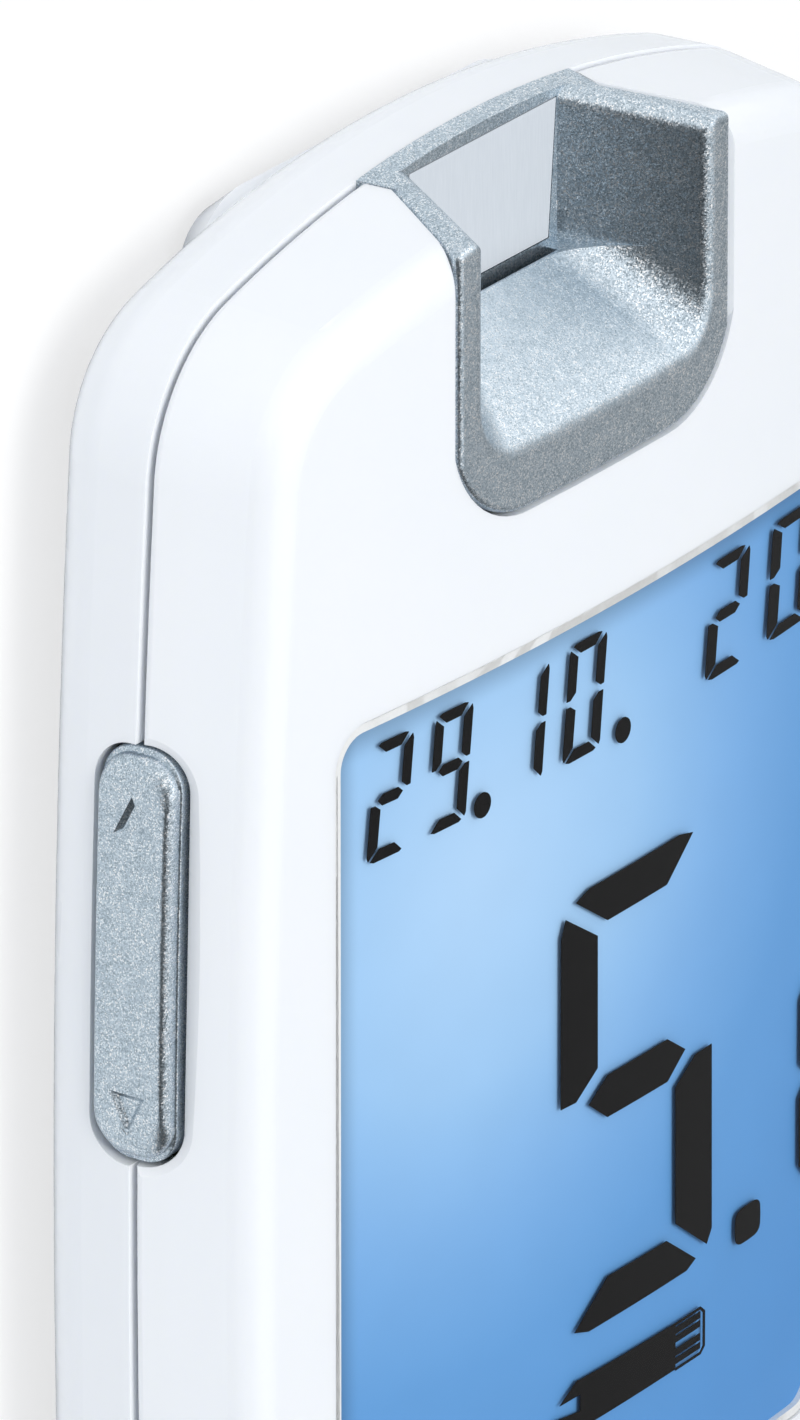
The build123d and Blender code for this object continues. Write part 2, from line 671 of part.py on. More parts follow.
def make_power_button():
    """Rounded push button with a stem behind it."""
    back = WIDTH / 2 - KEY_THICKNESS
    cap = side_pill(KEY_Y, KEY_Z, POWER_LENGTH, POWER_HEIGHT, POWER_HEIGHT / 2 - 0.05, back, WIDTH)
    cap &= key_reach(KEY_PROUD)
    rim = cap.edges().filter_by(lambda e: e.center().X > back + KEY_THICKNESS / 2)
    cap = fillet(rim, KEY_EDGE)
    stem = block((-switch_tip() + POWER_TRAVEL + 0.1, KEY_Y - PAD_WIDTH / 2, KEY_Z - PAD_HEIGHT / 2),
                 (back + 0.1, KEY_Y + PAD_WIDTH / 2, KEY_Z + PAD_HEIGHT / 2))
    return cap + stem


def make_power_switch():
    """The switch behind the power button."""
    return switch(KEY_Y, 1)


def key_openings():
    """Bars that cut the keys' openings through both side walls."""
    inside = WIDTH / 2 - WALL - 0.9
    left = side_pill(KEY_Y, KEY_Z, KEY_LENGTH, KEY_HEIGHT, KEY_CORNER, -WIDTH, -inside, KEY_GAP)
    corner = POWER_HEIGHT / 2 - 0.05
    right = side_pill(KEY_Y, KEY_Z, POWER_LENGTH, POWER_HEIGHT, corner, inside, WIDTH, KEY_GAP)
    return left + right


def key_rim_bevel():
    """A shallow bevel round the rocker's opening, laid on the front half's leaning wall."""
    length = KEY_LENGTH + 2 * KEY_GAP
    height = KEY_HEIGHT + 2 * KEY_GAP
    corner = KEY_CORNER + KEY_GAP
    wide = 2 * KEY_RIM_WIDTH
    deep = Pos(KEY_RIM_DEPTH, 0, 0) * (Plane.YZ * RectangleRounded(length, height, corner))
    broad = Plane.YZ * RectangleRounded(length + wide, height + wide, corner + KEY_RIM_WIDTH)
    bevel = loft([broad, deep], ruled=True) + extrude(broad, -1)
    bevel = Pos(0, 0, KEY_RISE / cos(radians(FRONT_DRAFT))) * bevel
    swing = asin(KEY_Y / SIDE_RADIUS)
    wall_x = -WIDTH / 2 + SIDE_RADIUS * (1 - cos(swing))
    turn = Rot(0, 0, -degrees(swing)) * Rot(0, FRONT_DRAFT, 0)
    return Pos(wall_x, KEY_Y, PART_Z) * turn * bevel


# ---------------------------------------------------------------- strip ejector
def ejector_slot():
    """The slot in the right wall that the ejector's neck runs in."""
    reach = EJECTOR_KNOB_LENGTH / 2 - EJECTOR_NECK_INSET + SLIDE_ROOM
    low = EJECTOR_Y - reach
    high = EJECTOR_Y + reach + EJECTOR_TRAVEL
    half = EJECTOR_NECK_HALF + SLIDE_ROOM / 2
    return block((WIDTH / 2 - WALL - 3, low, KEY_Z - half), (WIDTH / 2 + 1, high, KEY_Z + half))


def make_ejector_slider():
    """Ribbed thumb slider on the right side with a neck through the wall."""
    low = EJECTOR_Y - EJECTOR_KNOB_LENGTH / 2
    high = EJECTOR_Y + EJECTOR_KNOB_LENGTH / 2
    inner = WIDTH / 2 - EJECTOR_SEAT
    outer = WIDTH / 2 + EJECTOR_PROUD
    knob = block((inner, low, KEY_Z - EJECTOR_KNOB_HALF), (outer, high, KEY_Z + EJECTOR_KNOB_HALF))
    knob = fillet(knob.edges().filter_by(Axis.X), EJECTOR_CORNER)
    pitch = (EJECTOR_KNOB_LENGTH - 2 * EJECTOR_NECK_INSET) / EJECTOR_RIBS
    for i in range(EJECTOR_RIBS):
        y = EJECTOR_Y + (i - (EJECTOR_RIBS - 1) / 2) * pitch
        knob -= block((outer - RIB_GROOVE / 2, y - RIB_GROOVE / 2, KEY_Z - RIB_HALF),
                      (outer + 1, y + RIB_GROOVE / 2, KEY_Z + RIB_HALF))
    neck = block((arm_end(), low + EJECTOR_NECK_INSET, KEY_Z - EJECTOR_NECK_HALF),
                 (inner + 0.1, high - EJECTOR_NECK_INSET, KEY_Z + EJECTOR_NECK_HALF))
    return knob + neck


def arm_end():
    """Where the ejector's arm meets the slider's neck."""
    return WIDTH / 2 - WALL - 1.6


def make_ejector_carriage():
    """Arm under the display with a nose that pushes the strip out of the connector."""
    arm_y = EJECTOR_Y - EJECTOR_KNOB_LENGTH / 2 + EJECTOR_NECK_INSET
    low = BOARD_TOP_Z + ARM_LIFT
    high = low + ARM_THICKNESS
    nose_y = CONNECTOR_Y - CONNECTOR_LENGTH - ARM_WIDTH
    arm = block((-TONGUE_HALF, arm_y, low), (arm_end(), arm_y + ARM_WIDTH, high))
    bar = block((-TONGUE_HALF, arm_y, low), (TONGUE_HALF, nose_y + ARM_WIDTH, high))
    top = STRIP_Z + SLOT_HEIGHT - 0.05
    post = block((-TONGUE_HALF, nose_y, low), (TONGUE_HALF, nose_y + ARM_WIDTH, top))
    nose = block((-TONGUE_HALF, nose_y, STRIP_Z + 0.1), (TONGUE_HALF, nose_y + ARM_WIDTH + 0.6, top))
    return arm + bar + post + nose


def arm_passage():
    """The room the arm and its bar sweep through the display's frame."""
    low = EJECTOR_Y - EJECTOR_KNOB_LENGTH / 2 + EJECTOR_NECK_INSET - ARM_ROOM
    high = low + ARM_WIDTH + EJECTOR_TRAVEL + 2 * ARM_ROOM
    top = BOARD_TOP_Z + 2 * ARM_LIFT + ARM_THICKNESS
    side = block((0, low, 0), (WIDTH, high, top))
    middle = block((-TONGUE_HALF - ARM_ROOM, low, 0), (TONGUE_HALF + ARM_ROOM, LENGTH, top))
    return side + middle


# ---------------------------------------------------------------- battery compartment
def door_plate(grow=0.0):
    """The door's plan: a plate that runs out through the platform's lower end."""
    half = CAVITY_HALF + DOOR_SIDE + grow
    head = COMPARTMENT_TOP_Y + 1.0 + grow
    return block((-half, -END_Y, BACK_Z - grow), (half, head, DOOR_TOP_Z + grow))


def door_tongues(grow=0.0):
    """The ribs along the door's two long edges."""
    half = CAVITY_HALF + DOOR_SIDE + DOOR_TONGUE + grow
    head = COMPARTMENT_TOP_Y + 1.0 + grow
    return block((-half, -END_Y, DOOR_TOP_Z - 0.55 - grow), (half, head, DOOR_TOP_Z + grow))


def make_battery_door():
    """Sliding door, shaped like the platform where it ends, with grip grooves."""
    door = (door_plate() + door_tongues()) & platform_body()
    for i in range(GRIP_GROOVES):
        y = CELL_YS[-1] - CELL_RADIUS / 2 + i * GRIP_PITCH
        door -= block((-GRIP_HALF, y - GRIP_WIDTH / 2, BACK_Z - 1),
                      (GRIP_HALF, y + GRIP_WIDTH / 2, BACK_Z + GRIP_DEPTH))
    return door


def make_coin_cells():
    """Two coin cells side by side along the length."""
    cells = []
    for y in CELL_YS:
        can = rod(0, y, CELL_Z + CELL_CAP, CELL_Z + CELL_THICKNESS, CELL_RADIUS)
        cap = rod(0, y, CELL_Z, CELL_Z + CELL_CAP, CELL_RADIUS - CELL_CAP_INSET)
        cells.append(can + cap)
    return cells


def face_contact(y, grow=0.0):
    """A leaf over one cell with a dimple down and a tab up to the board."""
    low = CEILING_Z - LEAF
    half = LEAF_LENGTH / 2
    tab_half = TAB_WIDTH / 2 + grow
    leaf = block((-LEAF_WIDTH / 2, y - half, low), (LEAF_WIDTH / 2, y + half, CEILING_Z))
    dimple = rod(0, y - half + 2 * LEAF_DIMPLE, CELL_Z + CELL_THICKNESS, low, LEAF_DIMPLE)
    tab = block((-tab_half, y + half - LEAF - grow, low), (tab_half, y + half + grow, BOARD_Z))
    return leaf + dimple + tab


def rim_contact(y, grow=0.0):
    """A blade beside one cell that touches its rim and runs up to the board."""
    inner = CELL_RADIUS + 0.02
    half = BLADE_WIDTH / 2 + grow
    return block((inner - grow, y - half, CELL_Z + CELL_CAP), (inner + LEAF + grow, y + half, BOARD_Z))


def make_battery_face_contacts():
    """The spring leaves on the cells' flat sides."""
    return [face_contact(y) for y in CELL_YS]


def make_battery_rim_contacts():
    """The blades on the cells' rims."""
    return [rim_contact(y) for y in CELL_YS]


def tray_walls():
    """Walls and ceiling of the battery compartment, standing on the rear cover's floor."""
    half = CAVITY_HALF + TRAY_WALL
    return block((-half, CAVITY_END_Y - SKIN, BACK_Z + SKIN),
                 (half, COMPARTMENT_TOP_Y + SKIN, CEILING_Z + CEILING))


def compartment_space():
    """The room for the cells, the door and the contacts' tabs."""
    room = block((-CAVITY_HALF, CAVITY_END_Y, BACK_Z - 1), (CAVITY_HALF, COMPARTMENT_TOP_Y, CEILING_Z))
    room += door_plate(DOOR_GAP)
    room += door_tongues(DOOR_GAP)
    for y in CELL_YS:
        room += face_contact(y, 0.2)
        room += rim_contact(y, 0.03)
    return room


# ---------------------------------------------------------------- board and its parts
def make_circuit_board():
    """Board cut clear of the keys, the screw bosses and the data socket."""
    board = prism(BOARD_Z, BOARD_TOP_Z, WALL + BOARD_INSET)
    keep = block((-WIDTH, BOARD_END_Y, 0), (WIDTH, BOARD_HEAD_Y, TOP_Z))
    keep += block((-BOARD_TONGUE_HALF, 0, 0), (BOARD_TONGUE_HALF, CONNECTOR_Y + 0.5, TOP_Z))
    board &= keep
    room = KEY_LENGTH / 2 + 0.8
    board -= block((-WIDTH, KEY_Y - room, 0), (-BOARD_SIDE_HALF, KEY_Y + room, TOP_Z))
    board -= block((BOARD_SIDE_HALF, KEY_Y - room, 0), (WIDTH, WIDTH, TOP_Z))
    for x, y in BOSSES:
        board -= rod(x, y, 0, TOP_Z, BOSS_RADIUS + 0.4)
    for x, y in BOARD_SCREWS:
        board -= rod(x, y, 0, TOP_Z, BOARD_SCREW_RADIUS + 0.1)
    return board


def make_microcontroller():
    """Square chip under the board, with leads on its four sides."""
    x, y = CHIP_X, END_Y - CHIP_FROM_TOP
    half = CHIP_SIZE / 2
    chip = block((x - half, y - half, BOARD_Z - CHIP_HEIGHT), (x + half, y + half, BOARD_Z - 0.1))
    reach = half + LEAD_REACH
    low = BOARD_Z - LEAD_WIDTH
    pitch = CHIP_SIZE / (LEAD_COUNT + 1)
    for i in range(LEAD_COUNT):
        near = (i + 1) * pitch - half - LEAD_WIDTH / 2
        far = near + LEAD_WIDTH
        chip += block((x - reach, y + near, low), (x + reach, y + far, BOARD_Z))
        chip += block((x + near, y - reach, low), (x + far, y + reach, BOARD_Z))
    return chip


def make_memory_chip():
    """Small chip on top of the board that keeps the readings."""
    half = MEMORY_SIZE / 2
    x, y = MEMORY_X, COMPARTMENT_TOP_Y + MEMORY_SIZE
    return block((x - half, y - half, BOARD_TOP_Z), (x + half, y + half, BOARD_TOP_Z + MEMORY_HEIGHT))


def make_crystal():
    """Clock crystal: a small can lying under the board."""
    can = Rot(0, 90, 0) * Cylinder(CRYSTAL_RADIUS, CRYSTAL_LENGTH)
    return Pos(CRYSTAL_X, END_Y - CRYSTAL_FROM_TOP, BOARD_Z - CRYSTAL_RADIUS) * can


def make_board_components():
    """Chip resistors and capacitors, in rows on top of the board."""
    parts = []
    half = PASSIVE_LENGTH / 2
    half_width = PASSIVE_WIDTH / 2
    for row, y in enumerate(PASSIVE_ROWS):
        for i in range(PASSIVE_COUNT):
            x = i * PASSIVE_PITCH - PASSIVE_OFFSET + row
            parts.append(block((x - half, y - half_width, BOARD_TOP_Z),
                               (x + half, y + half_width, BOARD_TOP_Z + PASSIVE_HEIGHT)))
    return parts


def make_buzzer():
    """Round sounder under the board."""
    y = COMPARTMENT_TOP_Y + BUZZER_MARGIN + BUZZER_RADIUS
    return rod(BUZZER_X, y, BOARD_Z - BUZZER_HEIGHT, BOARD_Z, BUZZER_RADIUS)


def make_board_screws():
    """Two screws that hold the board on the rear cover's posts."""
    screws = []
    for x, y in BOARD_SCREWS:
        head = rod(x, y, BOARD_TOP_Z, BOARD_TOP_Z + BOARD_HEAD_HEIGHT, BOARD_HEAD_RADIUS)
        head -= block((x - BOARD_HEAD_SLOT, y - BOARD_HEAD_SLOT / 5, BOARD_TOP_Z + BOARD_HEAD_HEIGHT / 2),
                      (x + BOARD_HEAD_SLOT, y + BOARD_HEAD_SLOT / 5, TOP_Z))
        screws.append(head + rod(x, y, BOARD_Z - BOARD_SCREW_BITE, BOARD_TOP_Z, BOARD_SCREW_RADIUS))
    return screws


def socket_end():
    """The outer wall's Y at the data socket."""
    return -(END_Y - (END_RADIUS - (END_RADIUS ** 2 - SOCKET_X ** 2) ** 0.5))


def make_data_socket():
    """Jack socket at the lower end: a body on the board's edge and a collar in the wall."""
    front = socket_end() + 0.15
    body_foot = socket_end() + WALL + 1.4
    half = SOCKET_WIDTH / 2
    low = KEY_Z - SOCKET_HEIGHT / 2
    body = block((SOCKET_X - half, body_foot, low),
                 (SOCKET_X + half, BOARD_END_Y - 0.1, low + SOCKET_HEIGHT))
    body += block((SOCKET_X - half + 0.5, BOARD_END_Y - 0.5, BOARD_TOP_Z),
                  (SOCKET_X + half - 0.5, BOARD_END_Y + 2, BOARD_TOP_Z + 0.4))
    collar = Rot(90, 0, 0) * Cylinder(SOCKET_COLLAR, body_foot - front + 0.2)
    body += Pos(SOCKET_X, (front + body_foot + 0.2) / 2, KEY_Z) * collar
    bore = Rot(90, 0, 0) * Cylinder(SOCKET_BORE, 2 * SOCKET_DEPTH)
    return body - Pos(SOCKET_X, front, KEY_Z) * bore


def socket_opening():
    """The round opening in the lower end wall."""
    hole = Rot(90, 0, 0) * Cylinder(SOCKET_COLLAR + FIT_GAP, 6)
    return Pos(SOCKET_X, socket_end(), KEY_Z) * hole


# ---------------------------------------------------------------- covers
def make_housing_screws():
    """Four screws from the back through the rear cover into the front cover."""
    screws = []
    for x, y in BOSSES:
        seat = SHOULDER_Z + SCREW_HEAD_DEPTH
        head = rod(x, y, seat - SCREW_HEAD_HEIGHT, seat, SCREW_HEAD_RADIUS)
        head -= block((x - 1.1, y - 0.22, 0), (x + 1.1, y + 0.22, seat - SCREW_HEAD_HEIGHT + 0.6))
        head -= block((x - 0.22, y - 1.1, 0), (x + 0.22, y + 1.1, seat - SCREW_HEAD_HEIGHT + 0.6))
        screws.append(head + rod(x, y, seat, seat + SCREW_LENGTH, SCREW_RADIUS))
    return screws


def make_front_cover():
    """White front half: crowned face, drafted walls, openings for port, window and keys."""
    body = front_body()
    face_edges = body.edges().filter_by(lambda e: e.center().Z > PART_Z + FRONT_HEIGHT / 2)
    body = fillet(face_edges, FRONT_EDGE_RADIUS)
    body -= block((-WIDTH, -LENGTH, 0), (WIDTH, LENGTH, PART_Z + PARTING_GAP))
    low = PART_Z + PARTING_GAP + 0.01
    foot_edges = body.edges().filter_by(lambda e: e.bounding_box().max.Z < low)
    body = fillet(foot_edges, PARTING_ROUND)
    cover = body - front_body(WALL)
    for x, y in BOSSES:
        cover += rod(x, y, PART_Z + PARTING_GAP, TOP_Z, BOSS_RADIUS) & body
    ear = block((-WIDTH / 2, KEY_Y - EAR_HALF, KEY_Z + EAR_OFFSET),
                (PIVOT_X + LUG_REACH, KEY_Y + EAR_HALF, TOP_Z))
    cover += ear & body
    ledge = window_prism(PART_Z, TOP_Z, LEDGE_WIDTH) - window_prism(PART_Z, TOP_Z, -LEDGE_WIDTH)
    top = WINDOW_THICKNESS + ADHESIVE
    cover += (ledge & crown(top)) - crown(top + LEDGE_THICKNESS)
    cover -= window_prism(PART_Z, TOP_Z + 1, FIT_GAP / 2) - crown(top)
    rebate = prism(PART_Z - 1, PART_Z + LIP_HEIGHT + FIT_GAP, LIP_INSET - FIT_GAP)
    cover -= rebate - prism(PART_Z - 2, TOP_Z, WALL)
    cover -= bezel_block(FIT_GAP)
    for x, y in BOSSES:
        cover -= rod(x, y, 0, SHOULDER_Z + SCREW_HEAD_DEPTH + SCREW_LENGTH + 0.2, SCREW_RADIUS)
    cover -= rod(PIVOT_X, KEY_Y, 0, KEY_Z + PIN_LENGTH / 2, PIN_RADIUS)
    cover -= key_openings() + ejector_slot() + socket_opening()
    cover -= key_rim_bevel()
    return cover


def make_rear_cover():
    """White rear half: rounded back, raised platform, battery compartment, bosses and lip."""
    outer = rear_body() + platform_body()
    inside = rear_body(WALL)
    floor = Pos(0, 0, BACK_Z + SKIN) * extrude(platform_face(2 * SKIN), SHOULDER_Z + WALL - BACK_Z - SKIN)
    cover = outer - (inside + floor)
    hull = outer + prism(PART_Z - 1, PART_Z + LIP_HEIGHT, LIP_INSET)
    lip = prism(PART_Z - WALL, PART_Z + LIP_HEIGHT, LIP_INSET) - prism(0, TOP_Z, WALL)
    lip -= block((-BEZEL_REAR_HALF - 1, 0, PART_Z), (BEZEL_REAR_HALF + 1, LENGTH, TOP_Z))
    cover += lip
    cover += tray_walls() & hull
    for x, y in BOSSES:
        cover += rod(x, y, SHOULDER_Z, PART_Z, BOSS_RADIUS) & outer
    for x, y in BOARD_SCREWS:
        cover += rod(x, y, BACK_Z + SKIN / 2, BOARD_Z, BOARD_POST_RADIUS)
    ear = block((-WIDTH / 2 + WALL / 2, KEY_Y - EAR_HALF, SHOULDER_Z),
                (PIVOT_X + LUG_REACH, KEY_Y + EAR_HALF, KEY_Z - EAR_OFFSET))
    cover += ear & outer
    cover -= compartment_space()
    for x, y in BOSSES:
        cover -= rod(x, y, 0, SHOULDER_Z + SCREW_HEAD_DEPTH, SCREW_HEAD_RADIUS + 0.15)
        cover -= rod(x, y, 0, TOP_Z, SCREW_RADIUS + 0.15)
    for x, y in BOARD_SCREWS:
        cover -= rod(x, y, BOARD_Z - BOARD_SCREW_BITE - FIT_GAP, BOARD_TOP_Z, BOARD_SCREW_RADIUS)
    cover -= rod(PIVOT_X, KEY_Y, KEY_Z - PIN_LENGTH / 2, TOP_Z, PIN_RADIUS)
    cover -= key_openings() + ejector_slot() + socket_opening()
    return cover


def make_rubber_feet():
    """Four thin feet on the platform."""
    return [rod(side * FOOT_X, y, 0, FOOT_HEIGHT, FOOT_RADIUS) for side in (-1, 1) for y in FOOT_YS]


# ---------------------------------------------------------------- write the nodes
NODES = {
    "front_cover": make_front_cover,
    "rear_cover": make_rear_cover,
    "port_bezel": make_port_bezel,
    "port_guide_plate": make_port_guide_plate,
    "strip_connector": make_strip_connector,
    "strip_contacts": make_strip_contacts,
    "display_window": make_display_window,
    "window_adhesive": make_window_adhesive,
    "lcd_glass": make_lcd_glass,
    "lcd_holder": make_lcd_holder,
    "backlight_guide": make_backlight_guide,
    "backlight_reflector": make_backlight_reflector,
    "backlight_leds": make_backlight_leds,
    "zebra_strip": make_zebra_strip,
    "circuit_board": make_circuit_board,
    "microcontroller": make_microcontroller,
    "memory_chip": make_memory_chip,
    "crystal": make_crystal,
    "board_components": make_board_components,
    "buzzer": make_buzzer,
    "rocker_key": make_rocker_key,
    "rocker_pin": make_rocker_pin,
    "rocker_switches": make_rocker_switches,
    "power_button": make_power_button,
    "power_switch": make_power_switch,
    "ejector_slider": make_ejector_slider,
    "ejector_carriage": make_ejector_carriage,
    "battery_door": make_battery_door,
    "coin_cells": make_coin_cells,
    "battery_face_contacts": make_battery_face_contacts,
    "battery_rim_contacts": make_battery_rim_contacts,
    "data_socket": make_data_socket,
    "housing_screws": make_housing_screws,
    "board_screws": make_board_screws,
    "rubber_feet": make_rubber_feet,
}

os.makedirs("parts", exist_ok=True)
for name, make in NODES.items():
    shape = make()
    solids = shape if isinstance(shape, list) else shape.solids()
    export_step(Compound(children=list(solids)), f"parts/{name}.step")
    print(name, len(solids), round(sum(s.volume for s in solids), 2))
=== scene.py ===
import bmesh
import bpy
import math
from mathutils import Matrix, Vector


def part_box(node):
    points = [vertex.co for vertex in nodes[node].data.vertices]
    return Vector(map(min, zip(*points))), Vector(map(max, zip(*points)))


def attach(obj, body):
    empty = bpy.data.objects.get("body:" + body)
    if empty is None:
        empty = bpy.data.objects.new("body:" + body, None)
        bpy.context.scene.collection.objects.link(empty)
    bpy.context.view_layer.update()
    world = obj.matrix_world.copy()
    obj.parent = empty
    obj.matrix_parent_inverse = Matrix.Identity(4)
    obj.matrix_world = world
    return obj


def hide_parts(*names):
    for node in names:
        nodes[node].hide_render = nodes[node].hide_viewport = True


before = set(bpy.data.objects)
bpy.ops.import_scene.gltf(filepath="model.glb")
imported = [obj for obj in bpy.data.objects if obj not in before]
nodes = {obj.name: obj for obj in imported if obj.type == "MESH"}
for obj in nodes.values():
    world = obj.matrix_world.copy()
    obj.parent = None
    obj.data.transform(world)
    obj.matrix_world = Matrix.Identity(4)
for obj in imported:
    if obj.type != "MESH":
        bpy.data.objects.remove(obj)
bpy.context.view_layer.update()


# ---------------------------------------------------------------- camera
# A long lens looks down on the lying meter from beyond its upper left corner. The frame is cut
# close to that corner, so the image height covers about two thirds of the meter's length.
MM = 0.001
VIEW_LEFT = math.radians(55.0)
VIEW_UP = math.radians(23.0)
VIEW_DISTANCE = 1084.5 * MM
FOCAL_PIXELS = 24000.0
FRAME_WIDTH = 800
FRAME_HEIGHT = 1420
TOP_END_AT = (463, 113)
PARTING_GAP = 0.2 * MM
SENSOR_WIDTH = 36.0

to_camera = Vector((-math.cos(VIEW_UP) * math.sin(VIEW_LEFT), math.sin(VIEW_UP),
                    math.cos(VIEW_UP) * math.cos(VIEW_LEFT)))
view_right = Vector((math.cos(VIEW_LEFT), 0.0, math.sin(VIEW_LEFT)))
view_up = to_camera.cross(view_right)
parting_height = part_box("front_cover")[0].z - PARTING_GAP
top_end = Vector((0.0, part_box("rear_cover")[1].y, parting_height))
pixel = VIEW_DISTANCE / FOCAL_PIXELS
across = (TOP_END_AT[0] - FRAME_WIDTH / 2) * pixel
above = (FRAME_HEIGHT / 2 - TOP_END_AT[1]) * pixel

lens = bpy.data.cameras.new("camera")
lens.sensor_width = SENSOR_WIDTH
lens.lens = lens.sensor_width * FOCAL_PIXELS / FRAME_HEIGHT
lens.clip_start = 0.05
lens.clip_end = 30.0
camera = bpy.data.objects.new("camera", lens)
camera.matrix_world = Matrix((view_right, view_up, to_camera)).transposed().to_4x4()
camera.location = top_end + to_camera * VIEW_DISTANCE - view_right * across - view_up * above
bpy.context.scene.collection.objects.link(camera)
bpy.context.scene.camera = camera


# ---------------------------------------------------------------- studio
# A white tent with a softbox beyond the strip port. What mirrors see of the tent is darker to the
# sides than to the top end, as in a real tent with black cards, and gives the silver its depth.
TENT = 0.6
TENT_TINT = "#edf4ff"
LAMP_FROM = Vector((-0.26, 0.42, 1.08))
LAMP_WATTS = 8.4
LAMP_TINT = "#fffdf9"
LAMP_SIZE = 0.55
CARD = 0.03
# each board that mirrors see: its axis, the heading where it starts and is full, and its level
BOARDS = (("Y", 0.05, 0.6, 1.3), ("X", 0.0, 0.75, 0.5), ("Z", 0.73, 0.93, 1.25))
FLOOR_HALF = 4.0
FLOOR_GLOW = 0.7
FLOOR_PAPER = "#fcfcfc"
FLOOR_SEEN = "#e7e8e7"


def colour(text):
    """An sRGB hex value as linear red, green and blue, and 1."""
    parts = [int(text[i:i + 2], 16) / 255 for i in (1, 3, 5)]
    linear = [p / 12.92 if p <= 0.04045 else ((p + 0.055) / 1.055) ** 2.4 for p in parts]
    return (*linear, 1.0)


def add(tree, kind, sockets=None, **settings):
    """A node with its settings, and its input sockets set to values or linked to outputs."""
    made = tree.nodes.new(kind)
    for name, value in settings.items():
        setattr(made, name, value)
    for name, value in (sockets or {}).items():
        if isinstance(value, bpy.types.NodeSocket):
            tree.links.new(value, made.inputs[name])
        else:
            made.inputs[name].default_value = value
    return made


def blank(name):
    """A material whose tree holds only its output."""
    made = bpy.data.materials.new(name)
    made.use_nodes = True
    made.node_tree.nodes.clear()
    return made, made.node_tree, made.node_tree.nodes.new("ShaderNodeOutputMaterial")


world = bpy.data.worlds.new("white tent")
bpy.context.scene.world = world
world.use_nodes = True
world.cycles.sampling_method = "NONE"
tent = world.node_tree
tent.nodes.clear()
direction = add(tent, "ShaderNodeSeparateXYZ",
                {0: add(tent, "ShaderNodeTexCoord").outputs["Generated"]})
level = CARD
for axis, start, full, board in BOARDS:
    board_light = add(tent, "ShaderNodeMapRange",
                      {"Value": direction.outputs[axis], "From Min": start, "From Max": full,
                       "To Min": 0.0, "To Max": board}, interpolation_type="SMOOTHSTEP")
    level = add(tent, "ShaderNodeMath", {0: level, 1: board_light.outputs[0]}).outputs[0]
mirrored = add(tent, "ShaderNodeBackground", {"Strength": level})
soft = add(tent, "ShaderNodeBackground", {"Color": colour(TENT_TINT), "Strength": TENT})
bright = add(tent, "ShaderNodeBackground", {"Strength": 1.0})
path = add(tent, "ShaderNodeLightPath")
lit = add(tent, "ShaderNodeMixShader",
          {0: path.outputs["Is Glossy Ray"], 1: soft.outputs[0], 2: mirrored.outputs[0]})
shown = add(tent, "ShaderNodeMixShader",
            {0: path.outputs["Is Camera Ray"], 1: lit.outputs[0], 2: bright.outputs[0]})
add(tent, "ShaderNodeOutputWorld", {"Surface": shown.outputs[0]})

lamp = bpy.data.lights.new("softbox", "AREA")
lamp.energy = LAMP_WATTS
lamp.size = LAMP_SIZE
lamp.color = colour(LAMP_TINT)[:3]
lamp_stand = bpy.data.objects.new("softbox", lamp)
lamp_stand.location = LAMP_FROM
lamp_stand.rotation_euler = LAMP_FROM.to_track_quat("Z", "Y").to_euler()
lamp_stand.visible_glossy = False
bpy.context.scene.collection.objects.link(lamp_stand)
bpy.context.scene.view_settings.view_transform = "Standard"

floor_mesh = bpy.data.meshes.new("floor")
floor_mesh.from_pydata([(x * FLOOR_HALF, y * FLOOR_HALF, 0.0)
                        for x, y in ((-1, -1), (1, -1), (1, 1), (-1, 1))], [], [(0, 1, 2, 3)])
floor = bpy.data.objects.new("floor", floor_mesh)
bpy.context.scene.collection.objects.link(floor)

# matt white paper: an even ground that shows as white and keeps the meter's soft shadow
paper, tree, output = blank("white paper sweep")
rays = add(tree, "ShaderNodeLightPath")
seen = add(tree, "ShaderNodeMix", {0: rays.outputs["Is Glossy Ray"], 6: colour(FLOOR_PAPER),
                                   7: colour(FLOOR_SEEN)}, data_type="RGBA")
matt = add(tree, "ShaderNodeBsdfDiffuse", {"Color": seen.outputs[2]})
glow = add(tree, "ShaderNodeEmission", {"Strength": 1.0})
amount = add(tree, "ShaderNodeMath", {0: rays.outputs["Is Camera Ray"], 1: FLOOR_GLOW},
             operation="MULTIPLY")
sweep = add(tree, "ShaderNodeMixShader",
            {0: amount.outputs[0], 1: matt.outputs[0], 2: glow.outputs[0]})
tree.links.new(sweep.outputs[0], output.inputs["Surface"])
floor_mesh.materials.append(paper)


# ---------------------------------------------------------------- covers and battery door
# Front cover, rear cover and battery door are injection moulded white ABS from polished tools.
# The gloss is clear and even, with the slight waviness that a thin moulded wall has.
FLOW_MM = 9.0
BLEED_MM = 0.6
ABS_WHITE = "#f6f8fb"
ABS_SHADE = "#f2f5f9"


def dress(made, *names):
    """Put one material on every slot of the named nodes."""
    for name in names:
        mesh = nodes[name].data
        mesh.materials.clear()
        mesh.materials.append(made)


